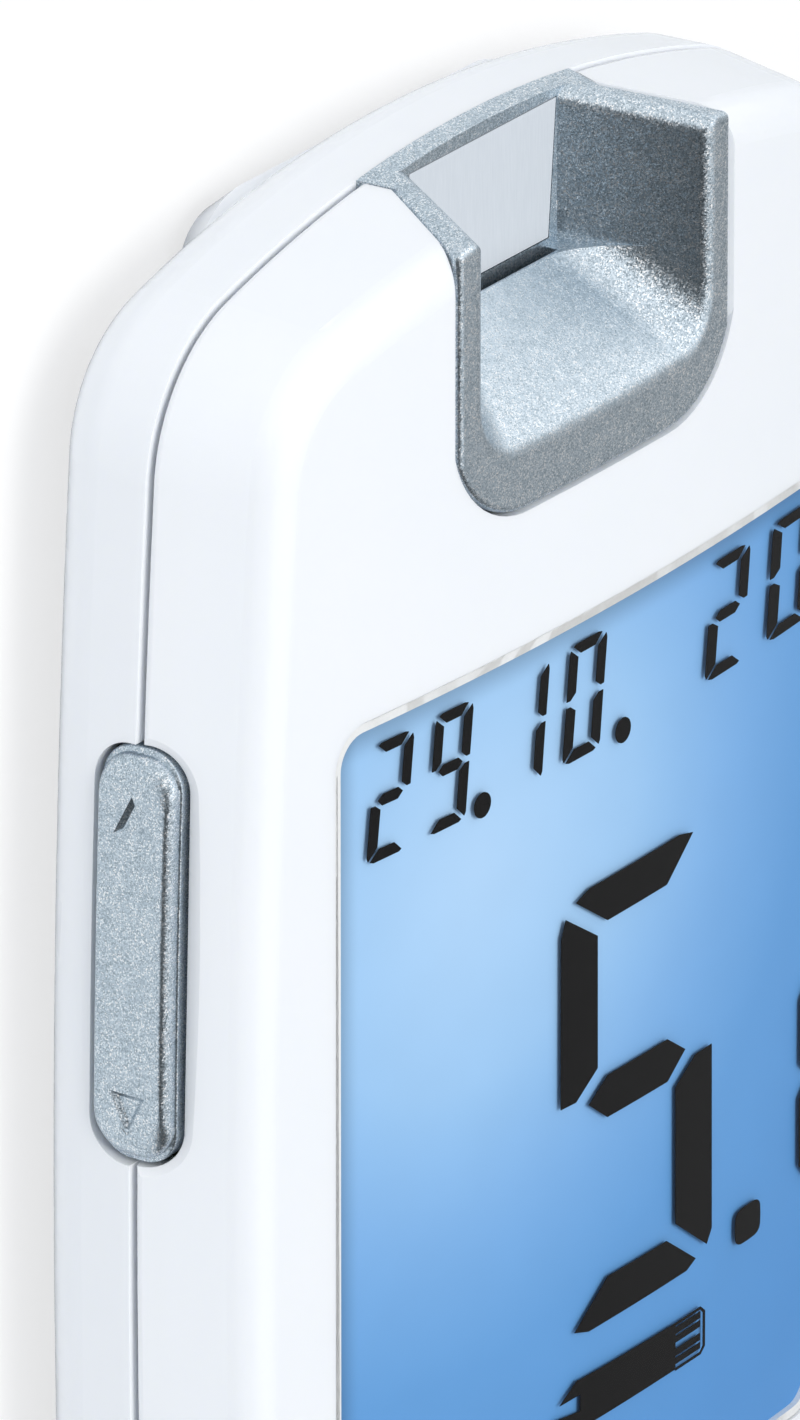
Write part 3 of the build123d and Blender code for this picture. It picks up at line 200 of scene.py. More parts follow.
abs_white, tree, output = blank("polished white ABS")
place = add(tree, "ShaderNodeTexCoord").outputs["Object"]
flow = add(tree, "ShaderNodeTexNoise",
           {"Vector": place, "Scale": 1 / (FLOW_MM * MM), "Detail": 2.0})
tint = add(tree, "ShaderNodeMix", {0: flow.outputs["Fac"], 6: colour(ABS_WHITE),
                                   7: colour(ABS_SHADE)}, data_type="RGBA")
wave = add(tree, "ShaderNodeBump", {"Height": flow.outputs["Fac"], "Strength": 0.12,
                                    "Distance": 0.03 * MM})
sheen = add(tree, "ShaderNodeMapRange",
            {"Value": flow.outputs["Fac"], "To Min": 0.1, "To Max": 0.17})
shell = add(tree, "ShaderNodeBsdfPrincipled",
            {"Base Color": tint.outputs[2], "Roughness": sheen.outputs[0],
             "Normal": wave.outputs[0], "IOR": 1.53, "Subsurface Weight": 0.4,
             "Subsurface Scale": BLEED_MM * MM, "Subsurface Radius": (1.0, 1.0, 1.1)})
tree.links.new(shell.outputs[0], output.inputs["Surface"])
dress(abs_white, "front_cover", "rear_cover", "battery_door")


# ---------------------------------------------------------------- silver pieces
# Strip funnel, rocker, power button and ejector are ABS sprayed with silver metal-flake lacquer.
# Each flake lies at its own angle, so the paint sparkles with fine grains.
FLAKE_MM = 0.058  # drawn coarse, because a real flake of about 0.02 mm is too fine to show
CLOUD_MM = 0.7
FLAKE_LEAN = 0.26
FLAKE_TONES = ((0.0, "#96a5af"), (0.35, "#b6c4cf"), (0.8, "#d4e0e9"), (0.9, "#f5fafe"),
               (1.0, "#ffffff"))


def grade(ramp, tones):
    """Give a colour ramp its tones, each a position and an sRGB hex value."""
    ramp.elements[0].color = colour(tones[0][1])
    ramp.elements[1].color = colour(tones[-1][1])
    for position, text in tones[1:-1]:
        ramp.elements.new(position).color = colour(text)


silver, tree, output = blank("silver metal-flake lacquer on ABS")
place = add(tree, "ShaderNodeTexCoord").outputs["Object"]
flake = add(tree, "ShaderNodeTexVoronoi", {"Vector": place, "Scale": 1 / (FLAKE_MM * MM)})
cloud = add(tree, "ShaderNodeTexNoise",
            {"Vector": place, "Scale": 1 / (CLOUD_MM * MM), "Detail": 3.0})
chance = add(tree, "ShaderNodeSeparateColor", {0: flake.outputs["Color"]})
patchy = add(tree, "ShaderNodeMapRange",
             {"Value": cloud.outputs["Fac"], "To Min": -0.2, "To Max": 0.2})
level = add(tree, "ShaderNodeMath", {0: chance.outputs[0], 1: patchy.outputs[0]})
tone = add(tree, "ShaderNodeValToRGB", {0: level.outputs[0]})
grade(tone.color_ramp, FLAKE_TONES)
tilt = add(tree, "ShaderNodeVectorMath", {0: flake.outputs["Color"], 1: (0.5, 0.5, 0.5)},
           operation="SUBTRACT")
lean = add(tree, "ShaderNodeVectorMath", {0: tilt.outputs[0], "Scale": FLAKE_LEAN},
           operation="SCALE")
surface = add(tree, "ShaderNodeNewGeometry")
facing = add(tree, "ShaderNodeVectorMath", {0: surface.outputs["Normal"], 1: lean.outputs[0]})
flake_normal = add(tree, "ShaderNodeVectorMath", {0: facing.outputs[0]}, operation="NORMALIZE")
lacquer = add(tree, "ShaderNodeBsdfPrincipled",
              {"Base Color": tone.outputs["Color"], "Metallic": 0.95, "Roughness": 0.34,
               "Normal": flake_normal.outputs[0]})
tree.links.new(lacquer.outputs[0], output.inputs["Surface"])
dress(silver, "port_bezel", "power_button", "ejector_slider")


# ---------------------------------------------------------------- rocker
# One moulded key astride the parting line, lacquered like the funnel: a low flange that fills the
# opening, a softly rounded bar with two sunk marks, and behind them the lug for the steel pin and
# a pad for each switch. Its sizes are in millimetres, with heights above the wall's face.
WALL_HALF = 26.3
WALL_RADIUS = 470.0
KEY_BACK = -1.6
KEY_ROW = 0.8
KEY_CORNER = 1.85
FLANGE = -0.38
FLANGE_ROUND = 0.1
FLANGE_STEPS = 3
BAR = 0.4
BAR_RISE = 0.74
BAR_SIDE = 0.1
BAR_SIDE_ROUND = 0.44
BAR_END = 0.3
BAR_END_ROUND = 1.5
BAR_STEPS = 10
MARK_HALF = 0.98
MARK_DEPTH = 0.25
MARK_FLOOR = 0.58
MARKS = ((6.9, 1), (-7.5, -1))
LUG_HALF = 1.5
LUG_REACH = 1.1
LUG_HALF_HEIGHT = 2.1
BORE_RADIUS = 0.55
BORE_SIDES = 24
PAD_AT = 7.0
PAD_HALF = 1.2
PAD_HALF_HEIGHT = 0.8
PAD_TO_SWITCH = 0.4
BACK_OVERLAP = 0.1
BACK_CORNER = 0.1
BACK_STEPS = 2
BACK_SLACK = 0.01
SHARP_EDGE = math.radians(38.0)


def rounded(low, high, corner, steps=10):
    """A rectangle with rounded corners, as points in order."""
    points = []
    for turn, (a, b) in enumerate(((high[0], high[1]), (low[0], high[1]), (low[0], low[1]),
                                   (high[0], low[1]))):
        centre_a = a - math.copysign(corner, a - (low[0] + high[0]) / 2)
        centre_b = b - math.copysign(corner, b - (low[1] + high[1]) / 2)
        for step in range(steps + 1):
            angle = math.pi / 2 * (turn + step / steps)
            points.append((centre_a + corner * math.cos(angle),
                           centre_b + corner * math.sin(angle)))
    return points


def pierced(mesh, *loops):
    """Flat faces inside the first loop of corners, with the other loops left open."""
    edges = []
    for loop in loops:
        for one, two in zip(loop, loop[1:] + loop[:1]):
            edges.append(mesh.edges.get((one, two)) or mesh.edges.new((one, two)))
    bmesh.ops.triangle_fill(mesh, use_beauty=True, edges=edges)


def skirt(mesh, one, two):
    """A band of faces between two loops with as many corners."""
    for i in range(len(one)):
        j = (i + 1) % len(one)
        mesh.faces.new((one[i], one[j], two[j], two[i]))


key_low, key_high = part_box("rocker_key")
pin_low, pin_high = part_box("rocker_pin")
key_y = (key_low.y + key_high.y) / 2 / MM
key_z = (key_low.z + key_high.z) / 2 / MM
half_length = (key_high.y - key_low.y) / 2 / MM
half_height = (key_high.z - key_low.z) / 2 / MM
levels = [(0.0, 0.0, KEY_BACK)]
for step in range(FLANGE_STEPS + 1):
    angle = math.pi / (2 * FLANGE_STEPS) * step
    drawn = FLANGE_ROUND * (1 - math.cos(angle))
    levels.append((drawn, drawn, FLANGE - FLANGE_ROUND * (1 - math.sin(angle))))
for step in range(BAR_STEPS + 1):
    angle = math.pi / (2 * BAR_STEPS) * step
    levels.append((BAR_END + BAR_END_ROUND * (1 - math.cos(angle)),
                   BAR_SIDE + BAR_SIDE_ROUND * (1 - math.cos(angle)),
                   BAR - BAR_RISE * (1 - math.sin(angle))))
key = bmesh.new()
rings = []
for end_inset, side_inset, out in levels:
    low = (key_y - half_length + end_inset, key_z - half_height + side_inset)
    high = (key_y + half_length - end_inset, key_z + half_height - side_inset)
    around = rounded(low, high, KEY_CORNER - side_inset)
    rings.append([key.verts.new((out, y, z)) for y, z in around])
    if len(rings) > 1:
        skirt(key, rings[-2], rings[-1])
key.faces.new(rings[0])
mouths = []
for offset, way in MARKS:
    middle = key_y + offset
    base_y, tip_y = middle - way * MARK_HALF, middle + way * MARK_HALF
    corners = ((base_y, key_z - MARK_HALF), (base_y, key_z + MARK_HALF), (tip_y, key_z))
    centre = (middle - way * MARK_HALF / 3, key_z)
    mouth = [key.verts.new((BAR, y, z)) for y, z in corners]
    floor_corners = [key.verts.new((BAR - MARK_DEPTH, centre[0] + (y - centre[0]) * MARK_FLOOR,
                                    centre[1] + (z - centre[1]) * MARK_FLOOR)) for y, z in corners]
    skirt(key, mouth, floor_corners)
    key.faces.new(floor_corners)
    mouths.append(mouth)
pierced(key, rings[-1], *mouths)
for row in range(math.ceil(half_length / KEY_ROW) * 2):
    row_y = key_y - half_length + (row + 0.5) * KEY_ROW
    bmesh.ops.bisect_plane(key, geom=key.verts[:] + key.edges[:] + key.faces[:], dist=1e-6,
                           plane_co=(0, row_y, 0), plane_no=(0, 1, 0))
for vert in key.verts:
    out = vert.co.x
    bend = WALL_RADIUS - math.sqrt(WALL_RADIUS ** 2 - vert.co.y ** 2)
    vert.co.x = -WALL_HALF - out + (bend if out > KEY_BACK + BACK_SLACK else 0.0)
pivot_x = (pin_low.x + pin_high.x) / 2 / MM
back_x = -WALL_HALF - KEY_BACK - BACK_OVERLAP
pad_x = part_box("rocker_switches")[0].x / MM - PAD_TO_SWITCH
lug = rounded((back_x, key_y - LUG_HALF), (pivot_x + LUG_REACH, key_y + LUG_HALF),
              BACK_CORNER, BACK_STEPS)
bore = [(pivot_x + BORE_RADIUS * math.cos(math.tau * i / BORE_SIDES),
         key_y + BORE_RADIUS * math.sin(math.tau * i / BORE_SIDES)) for i in range(BORE_SIDES)]
sides = []
for z in (key_z - LUG_HALF_HEIGHT, key_z + LUG_HALF_HEIGHT):
    sides.append([[key.verts.new((x, y, z)) for x, y in loop] for loop in (lug, bore)])
    pierced(key, *sides[-1])
for lower, upper in zip(*sides):
    skirt(key, lower, upper)
for y in (key_y - PAD_AT, key_y + PAD_AT):
    outline = rounded((y - PAD_HALF, key_z - PAD_HALF_HEIGHT),
                      (y + PAD_HALF, key_z + PAD_HALF_HEIGHT), BACK_CORNER, BACK_STEPS)
    ends = [[key.verts.new((x, b, c)) for b, c in outline] for x in (back_x, pad_x)]
    skirt(key, *ends)
    for end in ends:
        key.faces.new(end)
bmesh.ops.recalc_face_normals(key, faces=key.faces[:])
bmesh.ops.scale(key, vec=(MM, MM, MM), verts=key.verts[:])
rocker_mesh = bpy.data.meshes.new("rocker_bar")
key.to_mesh(rocker_mesh)
key.free()
rocker_mesh.shade_smooth()
rocker_mesh.set_sharp_from_angle(angle=SHARP_EDGE)
rocker_mesh.materials.append(silver)
rocker = bpy.data.objects.new("rocker_bar", rocker_mesh)
bpy.context.scene.collection.objects.link(rocker)
even = rocker.modifiers.new("even shading", "WEIGHTED_NORMAL")
even.keep_sharp = True
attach(rocker, "rocker")
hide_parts("rocker_key")


# ---------------------------------------------------------------- strip guide plate
# A smooth satin plate in light grey acetal lies in the funnel's floor and lets the strip slide.
# It is moulded and unpainted, so it is even, with a faint drag grain along the strip's way.
DRAG_WIDTH_MM = 1 / 12
DRAG_LENGTH_MM = 10 / 7
ACETAL_SHADE = "#ccd2d8"
ACETAL_GREY = "#dbe0e5"

plate, tree, output = blank("satin grey acetal")
place = add(tree, "ShaderNodeTexCoord").outputs["Object"]
dragged = add(tree, "ShaderNodeMapping",
              {"Vector": place, "Scale": (1 / (DRAG_WIDTH_MM * MM), 1 / (DRAG_LENGTH_MM * MM),
                                          1 / (DRAG_WIDTH_MM * MM))})
grain = add(tree, "ShaderNodeTexNoise",
            {"Vector": dragged.outputs[0], "Scale": 1.0, "Detail": 3.0})
tint = add(tree, "ShaderNodeMix", {0: grain.outputs["Fac"], 6: colour(ACETAL_SHADE),
                                   7: colour(ACETAL_GREY)}, data_type="RGBA")
satin = add(tree, "ShaderNodeMapRange",
            {"Value": grain.outputs["Fac"], "To Min": 0.3, "To Max": 0.42})
acetal = add(tree, "ShaderNodeBsdfPrincipled",
             {"Base Color": tint.outputs[2], "Roughness": satin.outputs[0], "IOR": 1.48})
tree.links.new(acetal.outputs[0], output.inputs["Surface"])
dress(plate, "port_guide_plate")


# ---------------------------------------------------------------- display window
# The window is a hard-coated clear acrylic pane, crowned and flush with the face. Its underside
# carries a light grey border, and the lit display shows under it with its black segments.
CROWN_RADIUS = 190.0 * MM
CROWN_STEP = 1.2 * MM
WINDOW_CORNER = 2.0 * MM
PANE = 0.12 * MM
PANE_GAP = 0.03 * MM
BORDER_WIDTH = 0.45 * MM
BORDER_DEPTH = 0.5 * MM
PICTURE_INSET = 0.1 * MM
PICTURE_DEPTH = 0.42 * MM
PICTURE_THICKNESS = 0.3 * MM
COATED_IOR = 1.16
WIPE_MM = 2.5
PRINT_MM = 0.25
PRINT_SHADE = "#e4e4e2"
PRINT_GREY = "#f0f0ee"
window_low, window_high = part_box("display_window")
face_top = window_high.z
end_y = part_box("rear_cover")[1].y


def window_outline(inset):
    """The window's outline, drawn in by the inset."""
    return rounded((window_low.x + inset, window_low.y + inset),
                   (window_high.x - inset, window_high.y - inset), WINDOW_CORNER - inset)


def crowned(name, polygons, depth, thickness):
    """Slabs with the given outlines that follow the face's crown at a depth under it."""
    mesh = bmesh.new()
    for polygon in polygons:
        mesh.faces.new([mesh.verts.new((x, y, 0.0)) for x, y in polygon])
    return crown_mesh(name, mesh, depth, thickness)


def crown_mesh(name, mesh, depth, thickness):
    """Cut flat faces into strips, bend them to the crown and give them a thickness."""
    reach = math.ceil(window_high.x / CROWN_STEP)
    for strip in range(-reach, reach + 1):
        everything = mesh.verts[:] + mesh.edges[:] + mesh.faces[:]
        bmesh.ops.bisect_plane(mesh, geom=everything, plane_co=(strip * CROWN_STEP, 0, 0),
                               plane_no=(1, 0, 0), dist=1e-7)
    bmesh.ops.recalc_face_normals(mesh, faces=mesh.faces[:])
    for face in mesh.faces:
        if face.normal.z < 0:
            face.normal_flip()
    top = mesh.faces[:]
    grown = bmesh.ops.extrude_face_region(mesh, geom=top, use_keep_orig=True)
    lower = [v for v in grown["geom"] if isinstance(v, bmesh.types.BMVert)]
    for vert in lower:
        vert.co.z = -thickness
    for vert in mesh.verts:
        sag = CROWN_RADIUS - math.sqrt(CROWN_RADIUS ** 2 - vert.co.x ** 2)
        vert.co.z += face_top - sag - depth
    bmesh.ops.recalc_face_normals(mesh, faces=mesh.faces[:])
    data = bpy.data.meshes.new(name)
    mesh.to_mesh(data)
    mesh.free()
    piece = bpy.data.objects.new(name, data)
    bpy.context.scene.collection.objects.link(piece)
    return piece


pane = crowned("window_pane", [window_outline(PANE_GAP)], 0.0, PANE)
ring = bmesh.new()
skirt(ring, *[[ring.verts.new((x, y, 0.0)) for x, y in window_outline(inset)]
              for inset in (PANE_GAP, BORDER_WIDTH)])
border = crown_mesh("window_border", ring, PANE, BORDER_DEPTH)
picture = crowned("display_picture", [window_outline(PICTURE_INSET)], PICTURE_DEPTH,
                  PICTURE_THICKNESS)

# cast acrylic with an anti-glare hard coat: clear, with a weak and slightly wiped reflection
clear, tree, output = blank("hard-coated acrylic")
place = add(tree, "ShaderNodeTexCoord").outputs["Object"]
wipe = add(tree, "ShaderNodeTexNoise",
           {"Vector": place, "Scale": 1 / (WIPE_MM * MM), "Detail": 3.0})
smear = add(tree, "ShaderNodeMapRange",
            {"Value": wipe.outputs["Fac"], "To Min": 0.01, "To Max": 0.06})
gloss = add(tree, "ShaderNodeBsdfGlossy", {"Roughness": smear.outputs[0]})
through = add(tree, "ShaderNodeBsdfTransparent")
edge_on = add(tree, "ShaderNodeFresnel", {"IOR": COATED_IOR})
behind = add(tree, "ShaderNodeNewGeometry").outputs["Backfacing"]
outside = add(tree, "ShaderNodeMath", {0: 1.0, 1: behind}, operation="SUBTRACT")
mirror = add(tree, "ShaderNodeMath", {0: edge_on.outputs[0], 1: outside.outputs[0]},
             operation="MULTIPLY")
acrylic = add(tree, "ShaderNodeMixShader",
              {0: mirror.outputs[0], 1: through.outputs[0], 2: gloss.outputs[0]})
tree.links.new(acrylic.outputs[0], output.inputs["Surface"])
pane.data.materials.append(clear)

# screen printed ink: a flat light grey with a faint print grain
mask, tree, output = blank("printed light grey border")
place = add(tree, "ShaderNodeTexCoord").outputs["Object"]
print_grain = add(tree, "ShaderNodeTexNoise",
                  {"Vector": place, "Scale": 1 / (PRINT_MM * MM), "Detail": 2.0})
tint = add(tree, "ShaderNodeMix", {0: print_grain.outputs["Fac"], 6: colour(PRINT_SHADE),
                                   7: colour(PRINT_GREY)}, data_type="RGBA")
ink = add(tree, "ShaderNodeBsdfPrincipled", {"Base Color": tint.outputs[2], "Roughness": 0.45})
tree.links.new(ink.outputs[0], output.inputs["Surface"])
border.data.materials.append(mask)

# The backlight is brightest above the middle and falls off towards the lower end and the edges.
# The cell's glass spreads it, so the blue is smooth, with a slow drift in its level.
GLOW_CENTRE = Vector((-9.0 * MM, end_y - 32.0 * MM, 0.0))
GLOW_TONES = ((0.0, "#b6d7f5"), (0.27, "#9cc7ed"), (0.4, "#84b5e5"), (0.5, "#76abdf"),
              (0.63, "#639ed6"), (1.0, "#5290cd"))
GLOW_REACH = 40.0 * MM
GLOW_STRETCH = 1.15
# a painted shadow of the border along the left and top edges: its darkest level and its width
PAINTED_EDGE_SHADOW = 0.62
PAINTED_EDGE_SHADOW_MM = 1.7
CELL_MM = 4.0

blue, tree, output = blank("backlit liquid crystal")
place = add(tree, "ShaderNodeTexCoord").outputs["Object"]
centred = add(tree, "ShaderNodeMapping",
              {"Vector": place, "Location": (-GLOW_CENTRE.x / GLOW_STRETCH, -GLOW_CENTRE.y, 0.0),
               "Scale": (1 / GLOW_STRETCH, 1.0, 0.0)})
far = add(tree, "ShaderNodeVectorMath", {0: centred.outputs[0]}, operation="LENGTH")
share = add(tree, "ShaderNodeMath", {0: far.outputs["Value"], 1: GLOW_REACH}, operation="DIVIDE")
ramp = add(tree, "ShaderNodeValToRGB", {0: share.outputs[0]})
ramp.color_ramp.interpolation = "B_SPLINE"
grade(ramp.color_ramp, GLOW_TONES)
at = add(tree, "ShaderNodeSeparateXYZ", {0: place})
# painted shade: the blue darkens towards the left and top edges, as if the border shaded it from
# light above and to the left
edge_shadows = []
for axis, wall, way in (("X", window_low.x, 1), ("Y", window_high.y, -1)):
    start = wall + way * BORDER_WIDTH
    edge_shadows.append(add(tree, "ShaderNodeMapRange",
                      {"Value": at.outputs[axis], "From Min": start,
                       "From Max": start + way * PAINTED_EDGE_SHADOW_MM * MM,
                       "To Min": PAINTED_EDGE_SHADOW, "To Max": 1.0},
                      interpolation_type="SMOOTHSTEP"))
# the painted shadows of the two edges, taken together
painted_shadow = add(tree, "ShaderNodeMath", {0: edge_shadows[0].outputs[0], 1: edge_shadows[1].outputs[0]},
            operation="MULTIPLY")
cell = add(tree, "ShaderNodeTexNoise",
           {"Vector": place, "Scale": 1 / (CELL_MM * MM), "Detail": 2.0})
drift = add(tree, "ShaderNodeMapRange",
            {"Value": cell.outputs["Fac"], "To Min": 0.97, "To Max": 1.03})
level = add(tree, "ShaderNodeMath", {0: painted_shadow.outputs[0], 1: drift.outputs[0]},
            operation="MULTIPLY")
lit_blue = add(tree, "ShaderNodeVectorMath", {0: ramp.outputs["Color"], "Scale": level.outputs[0]},
               operation="SCALE")
liquid = add(tree, "ShaderNodeBsdfPrincipled",
             {"Base Color": lit_blue.outputs[0], "Roughness": 0.5, "Specular IOR Level": 0.2})
tree.links.new(liquid.outputs[0], output.inputs["Surface"])
picture.data.materials.append(blue)


# ---------------------------------------------------------------- display segments
# The date, the reading and a test strip sign are the liquid crystal's dark segments. They lie just
# under the pane and throw a soft shadow on the lit layer below them.
SEGMENT_GAP = 0.02 * MM
SEGMENT_THICKNESS = 0.04 * MM
SEGMENT_GRAIN_MM = 1 / 3
SEGMENT_BLACK = "#0c0c0d"
SEGMENT_PALER = "#131314"
# each segment's corners, across and down the digit, in shares of its width and height
UPPER_LEFT = ((0.028, 0.041), (0.228, 0.116), (0.231, 0.414), (0.094, 0.464), (0.0, 0.462),
              (0.0, 0.08))
LOWER_RIGHT = ((0.993, 0.519), (0.884, 0.519), (0.746, 0.566), (0.75, 0.877), (0.965, 0.969),
               (1.0, 0.939))
SEGMENTS = {
    "top": ((0.09, 0.016), (0.178, 0.0), (0.767, 0.0), (0.855, 0.012), (0.68, 0.094),
            (0.291, 0.094)),
    "upper left": UPPER_LEFT,
    "upper right": tuple((1 - x, y) for x, y in UPPER_LEFT),
    "middle": ((0.69, 0.445), (0.81, 0.492), (0.69, 0.541), (0.294, 0.538), (0.176, 0.487),
               (0.299, 0.443)),
    "lower left": tuple((1 - x, y) for x, y in LOWER_RIGHT),
    "lower right": LOWER_RIGHT,
    "bottom": ((0.69, 0.903), (0.889, 0.985), (0.827, 1.0), (0.178, 1.0), (0.09, 0.985),
               (0.304, 0.9)),
}
LIT = {
    "0": ("top", "upper left", "upper right", "lower left", "lower right", "bottom"),
    "1": ("upper right", "lower right"),
    "2": ("top", "upper right", "middle", "lower left", "bottom"),
    "5": ("top", "upper left", "middle", "lower right", "bottom"),
    "9": ("top", "upper left", "upper right", "middle", "lower right", "bottom"),
}
# places and sizes are in mm, across from the middle and down from the face's top end
# the date: each digit, its left side and its width
DATE = (("2", -17.2, 2.75), ("9", -12.9, 2.75), ("1", -7.15, 2.75), ("0", -2.8, 2.95),
        ("2", 8.95, 3.4), ("0", 14.45, 3.8))
DATE_TOP = 23.65
DATE_HEIGHT = 5.7
DATE_SLANT = 0.65
# its two points: across, down and radius
DATE_DOTS = ((-8.86, 29.13, 0.62), (2.08, 29.2, 0.62))
# the reading: each digit, its left side, its width, its top and its height
READING = (("5", -2.82, 12.65, 36.12, 22.2), ("1", 14.9, 4.0, 47.3, 11.02))
# its decimal point: across, down, half its width, half its height and how square it is
POINT = (13.1, 57.95, 1.15, 0.9, 4.0)
# the test strip sign: its body, its filled mouth, its four contact lines and its end
STRIP_BODY = ((-1.2, 60.5), (6.7, 60.62), (6.7, 62.97), (0.66, 62.99), (-2.3, 63.0),
              (-3.3, 61.85), (-1.2, 62.1))
STRIP_MOUTH = ((-2.85, 61.25), (-1.45, 60.45), (-1.2, 60.5), (-1.2, 61.25))
STRIP_LINES = ((60.85, 61.18), (61.3, 61.62), (61.95, 62.3), (62.42, 62.72))
STRIP_LINES_FROM = 6.7
STRIP_LINES_TO = 8.85
STRIP_END = ((6.7, 60.62), (8.9, 60.62), (9.28, 60.95), (9.28, 62.75), (8.9, 63.05),
             (6.7, 63.05), (6.7, 62.92), (8.85, 62.92), (9.1, 62.7), (9.1, 61.0),
             (8.85, 60.75), (6.7, 60.75))


def plot(points):
    """Points given across the face and down from its top end, both in mm, on the face."""
    return [(x * MM, end_y - down * MM) for x, down in points]


def digit(number, left, width, top, height, slant):
    """The lit segments of one digit as outlines on the face."""
    return [[((left + x * width + (1 - y) * slant) * MM, end_y - (top + y * height) * MM)
             for x, y in SEGMENTS[name]] for name in LIT[number]]


def dot(x, down, half_width, half_height, squareness=2.0, steps=20):
    """A round or squarish dot as an outline on the face."""
    points = []
    for step in range(steps):
        angle = math.tau * step / steps
        c, s = math.cos(angle), math.sin(angle)
        points.append(((x + half_width * math.copysign(abs(c) ** (2 / squareness), c)) * MM,
                       end_y - (down + half_height
                                * math.copysign(abs(s) ** (2 / squareness), s)) * MM))
    return points


shapes = []
for number, left, width in DATE:
    shapes += digit(number, left, width, DATE_TOP, DATE_HEIGHT, DATE_SLANT)
for number, left, width, top, height in READING:
    shapes += digit(number, left, width, top, height, 0.0)
for x, down, radius in DATE_DOTS:
    shapes.append(dot(x, down, radius, radius))
shapes.append(dot(*POINT))
shapes += [plot(STRIP_BODY), plot(STRIP_MOUTH)]
for low, high in STRIP_LINES:
    shapes.append(plot([(STRIP_LINES_FROM, low), (STRIP_LINES_TO, low), (STRIP_LINES_TO, high),
                        (STRIP_LINES_FROM, high)]))
shapes.append(plot(STRIP_END))
segments = crowned("display_segments", shapes, PANE + SEGMENT_GAP, SEGMENT_THICKNESS)

# a dyed liquid crystal that is switched on: a deep even black that hardly reflects
dark, tree, output = blank("dark liquid crystal segment")
place = add(tree, "ShaderNodeTexCoord").outputs["Object"]
fine = add(tree, "ShaderNodeTexNoise",
           {"Vector": place, "Scale": 1 / (SEGMENT_GRAIN_MM * MM), "Detail": 2.0})
tint = add(tree, "ShaderNodeMix", {0: fine.outputs["Fac"], 6: colour(SEGMENT_BLACK),
                                   7: colour(SEGMENT_PALER)}, data_type="RGBA")
black = add(tree, "ShaderNodeBsdfPrincipled",
            {"Base Color": tint.outputs[2], "Roughness": 0.6, "Specular IOR Level": 0.1})
tree.links.new(black.outputs[0], output.inputs["Surface"])
segments.data.materials.append(dark)
for piece, slot in ((pane, "clear_window"), (border, "adhesive"), (picture, "lcd_cell"),
                    (segments, "black_plastic")):
    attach(piece, "housing")
    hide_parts("display_window")


# ---------------------------------------------------------------- rubber feet
# Four soft rubber pads are glued to the raised back. Each is die cut and slightly rounded on its
# rim, and it is matt with a dusty grain.
FOOT_RADIUS = 1.7 * MM
FOOT_RIM = 0.2 * MM
FOOT_STEPS = 25
FOOT_SIDES = 48
DUST_MM = 0.4
RUBBER_BLACK = "#232426"
RUBBER_DUSTY = "#34363a"
foot_low, foot_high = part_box("rubber_feet")
foot_middle = Vector(((foot_low.x + foot_high.x) / 2, (foot_low.y + foot_high.y) / 2, foot_low.z))
foot_spread = foot_high - foot_low

rubber, tree, output = blank("soft black rubber")
place = add(tree, "ShaderNodeTexCoord").outputs["Object"]
dust = add(tree, "ShaderNodeTexNoise",
           {"Vector": place, "Scale": 1 / (DUST_MM * MM), "Detail": 4.0})
tint = add(tree, "ShaderNodeMix", {0: dust.outputs["Fac"], 6: colour(RUBBER_BLACK),
                                   7: colour(RUBBER_DUSTY)}, data_type="RGBA")
pits = add(tree, "ShaderNodeBump", {"Height": dust.outputs["Fac"], "Strength": 0.4,
                                    "Distance": 0.05 * MM})
pad = add(tree, "ShaderNodeBsdfPrincipled",
          {"Base Color": tint.outputs[2], "Roughness": 0.75, "Normal": pits.outputs[0]})
tree.links.new(pad.outputs[0], output.inputs["Surface"])

feet_tree = bpy.data.node_groups.new("four pads", "GeometryNodeTree")
sizes = {"Spread X": foot_spread.x - 2 * FOOT_RADIUS, "Spread Y": foot_spread.y - 2 * FOOT_RADIUS,
         "Radius": FOOT_RADIUS, "Rim": FOOT_RIM, "Height": foot_spread.z}
for name, size in sizes.items():
    socket = feet_tree.interface.new_socket(name, in_out="INPUT", socket_type="NodeSocketFloat")
    socket.default_value = size
feet_tree.interface.new_socket("Geometry", in_out="OUTPUT", socket_type="NodeSocketGeometry")
given = feet_tree.nodes.new("NodeGroupInput").outputs
places = add(feet_tree, "GeometryNodeMeshGrid",
             {"Size X": given["Spread X"], "Size Y": given["Spread Y"],
              "Vertices X": 2, "Vertices Y": 2})
top = add(feet_tree, "ShaderNodeCombineXYZ", {"Z": given["Height"]})
axis = add(feet_tree, "GeometryNodeCurvePrimitiveLine", {"End": top.outputs[0]})
steps = add(feet_tree, "GeometryNodeResampleCurve",
            {"Curve": axis.outputs[0], "Count": FOOT_STEPS})
# a pad's radius at each height: the flat radius and what a quarter circle leaves of the rim
spot = add(feet_tree, "GeometryNodeInputPosition")
height = add(feet_tree, "ShaderNodeSeparateXYZ", {0: spot.outputs[0]})
under = add(feet_tree, "ShaderNodeMath", {0: given["Rim"], 1: height.outputs["Z"]},
            operation="SUBTRACT")
below_rim = add(feet_tree, "ShaderNodeMath", {0: under.outputs[0], 1: 0.0}, operation="MAXIMUM")
rim_squared = add(feet_tree, "ShaderNodeMath", {0: given["Rim"], 1: 2.0}, operation="POWER")
drop_squared = add(feet_tree, "ShaderNodeMath", {0: below_rim.outputs[0], 1: 2.0},
                   operation="POWER")
left_over = add(feet_tree, "ShaderNodeMath",
                {0: rim_squared.outputs[0], 1: drop_squared.outputs[0]}, operation="SUBTRACT")
reach = add(feet_tree, "ShaderNodeMath", {0: left_over.outputs[0]}, operation="SQRT")
flat_radius = add(feet_tree, "ShaderNodeMath", {0: given["Radius"], 1: given["Rim"]},
                  operation="SUBTRACT")
turned = add(feet_tree, "ShaderNodeMath", {0: flat_radius.outputs[0], 1: reach.outputs[0]})
circle = add(feet_tree, "GeometryNodeCurvePrimitiveCircle",
             {"Resolution": FOOT_SIDES, "Radius": 1.0})
lathed = add(feet_tree, "GeometryNodeCurveToMesh",
             {"Curve": steps.outputs[0], "Profile Curve": circle.outputs["Curve"],
              "Scale": turned.outputs[0], "Fill Caps": True})
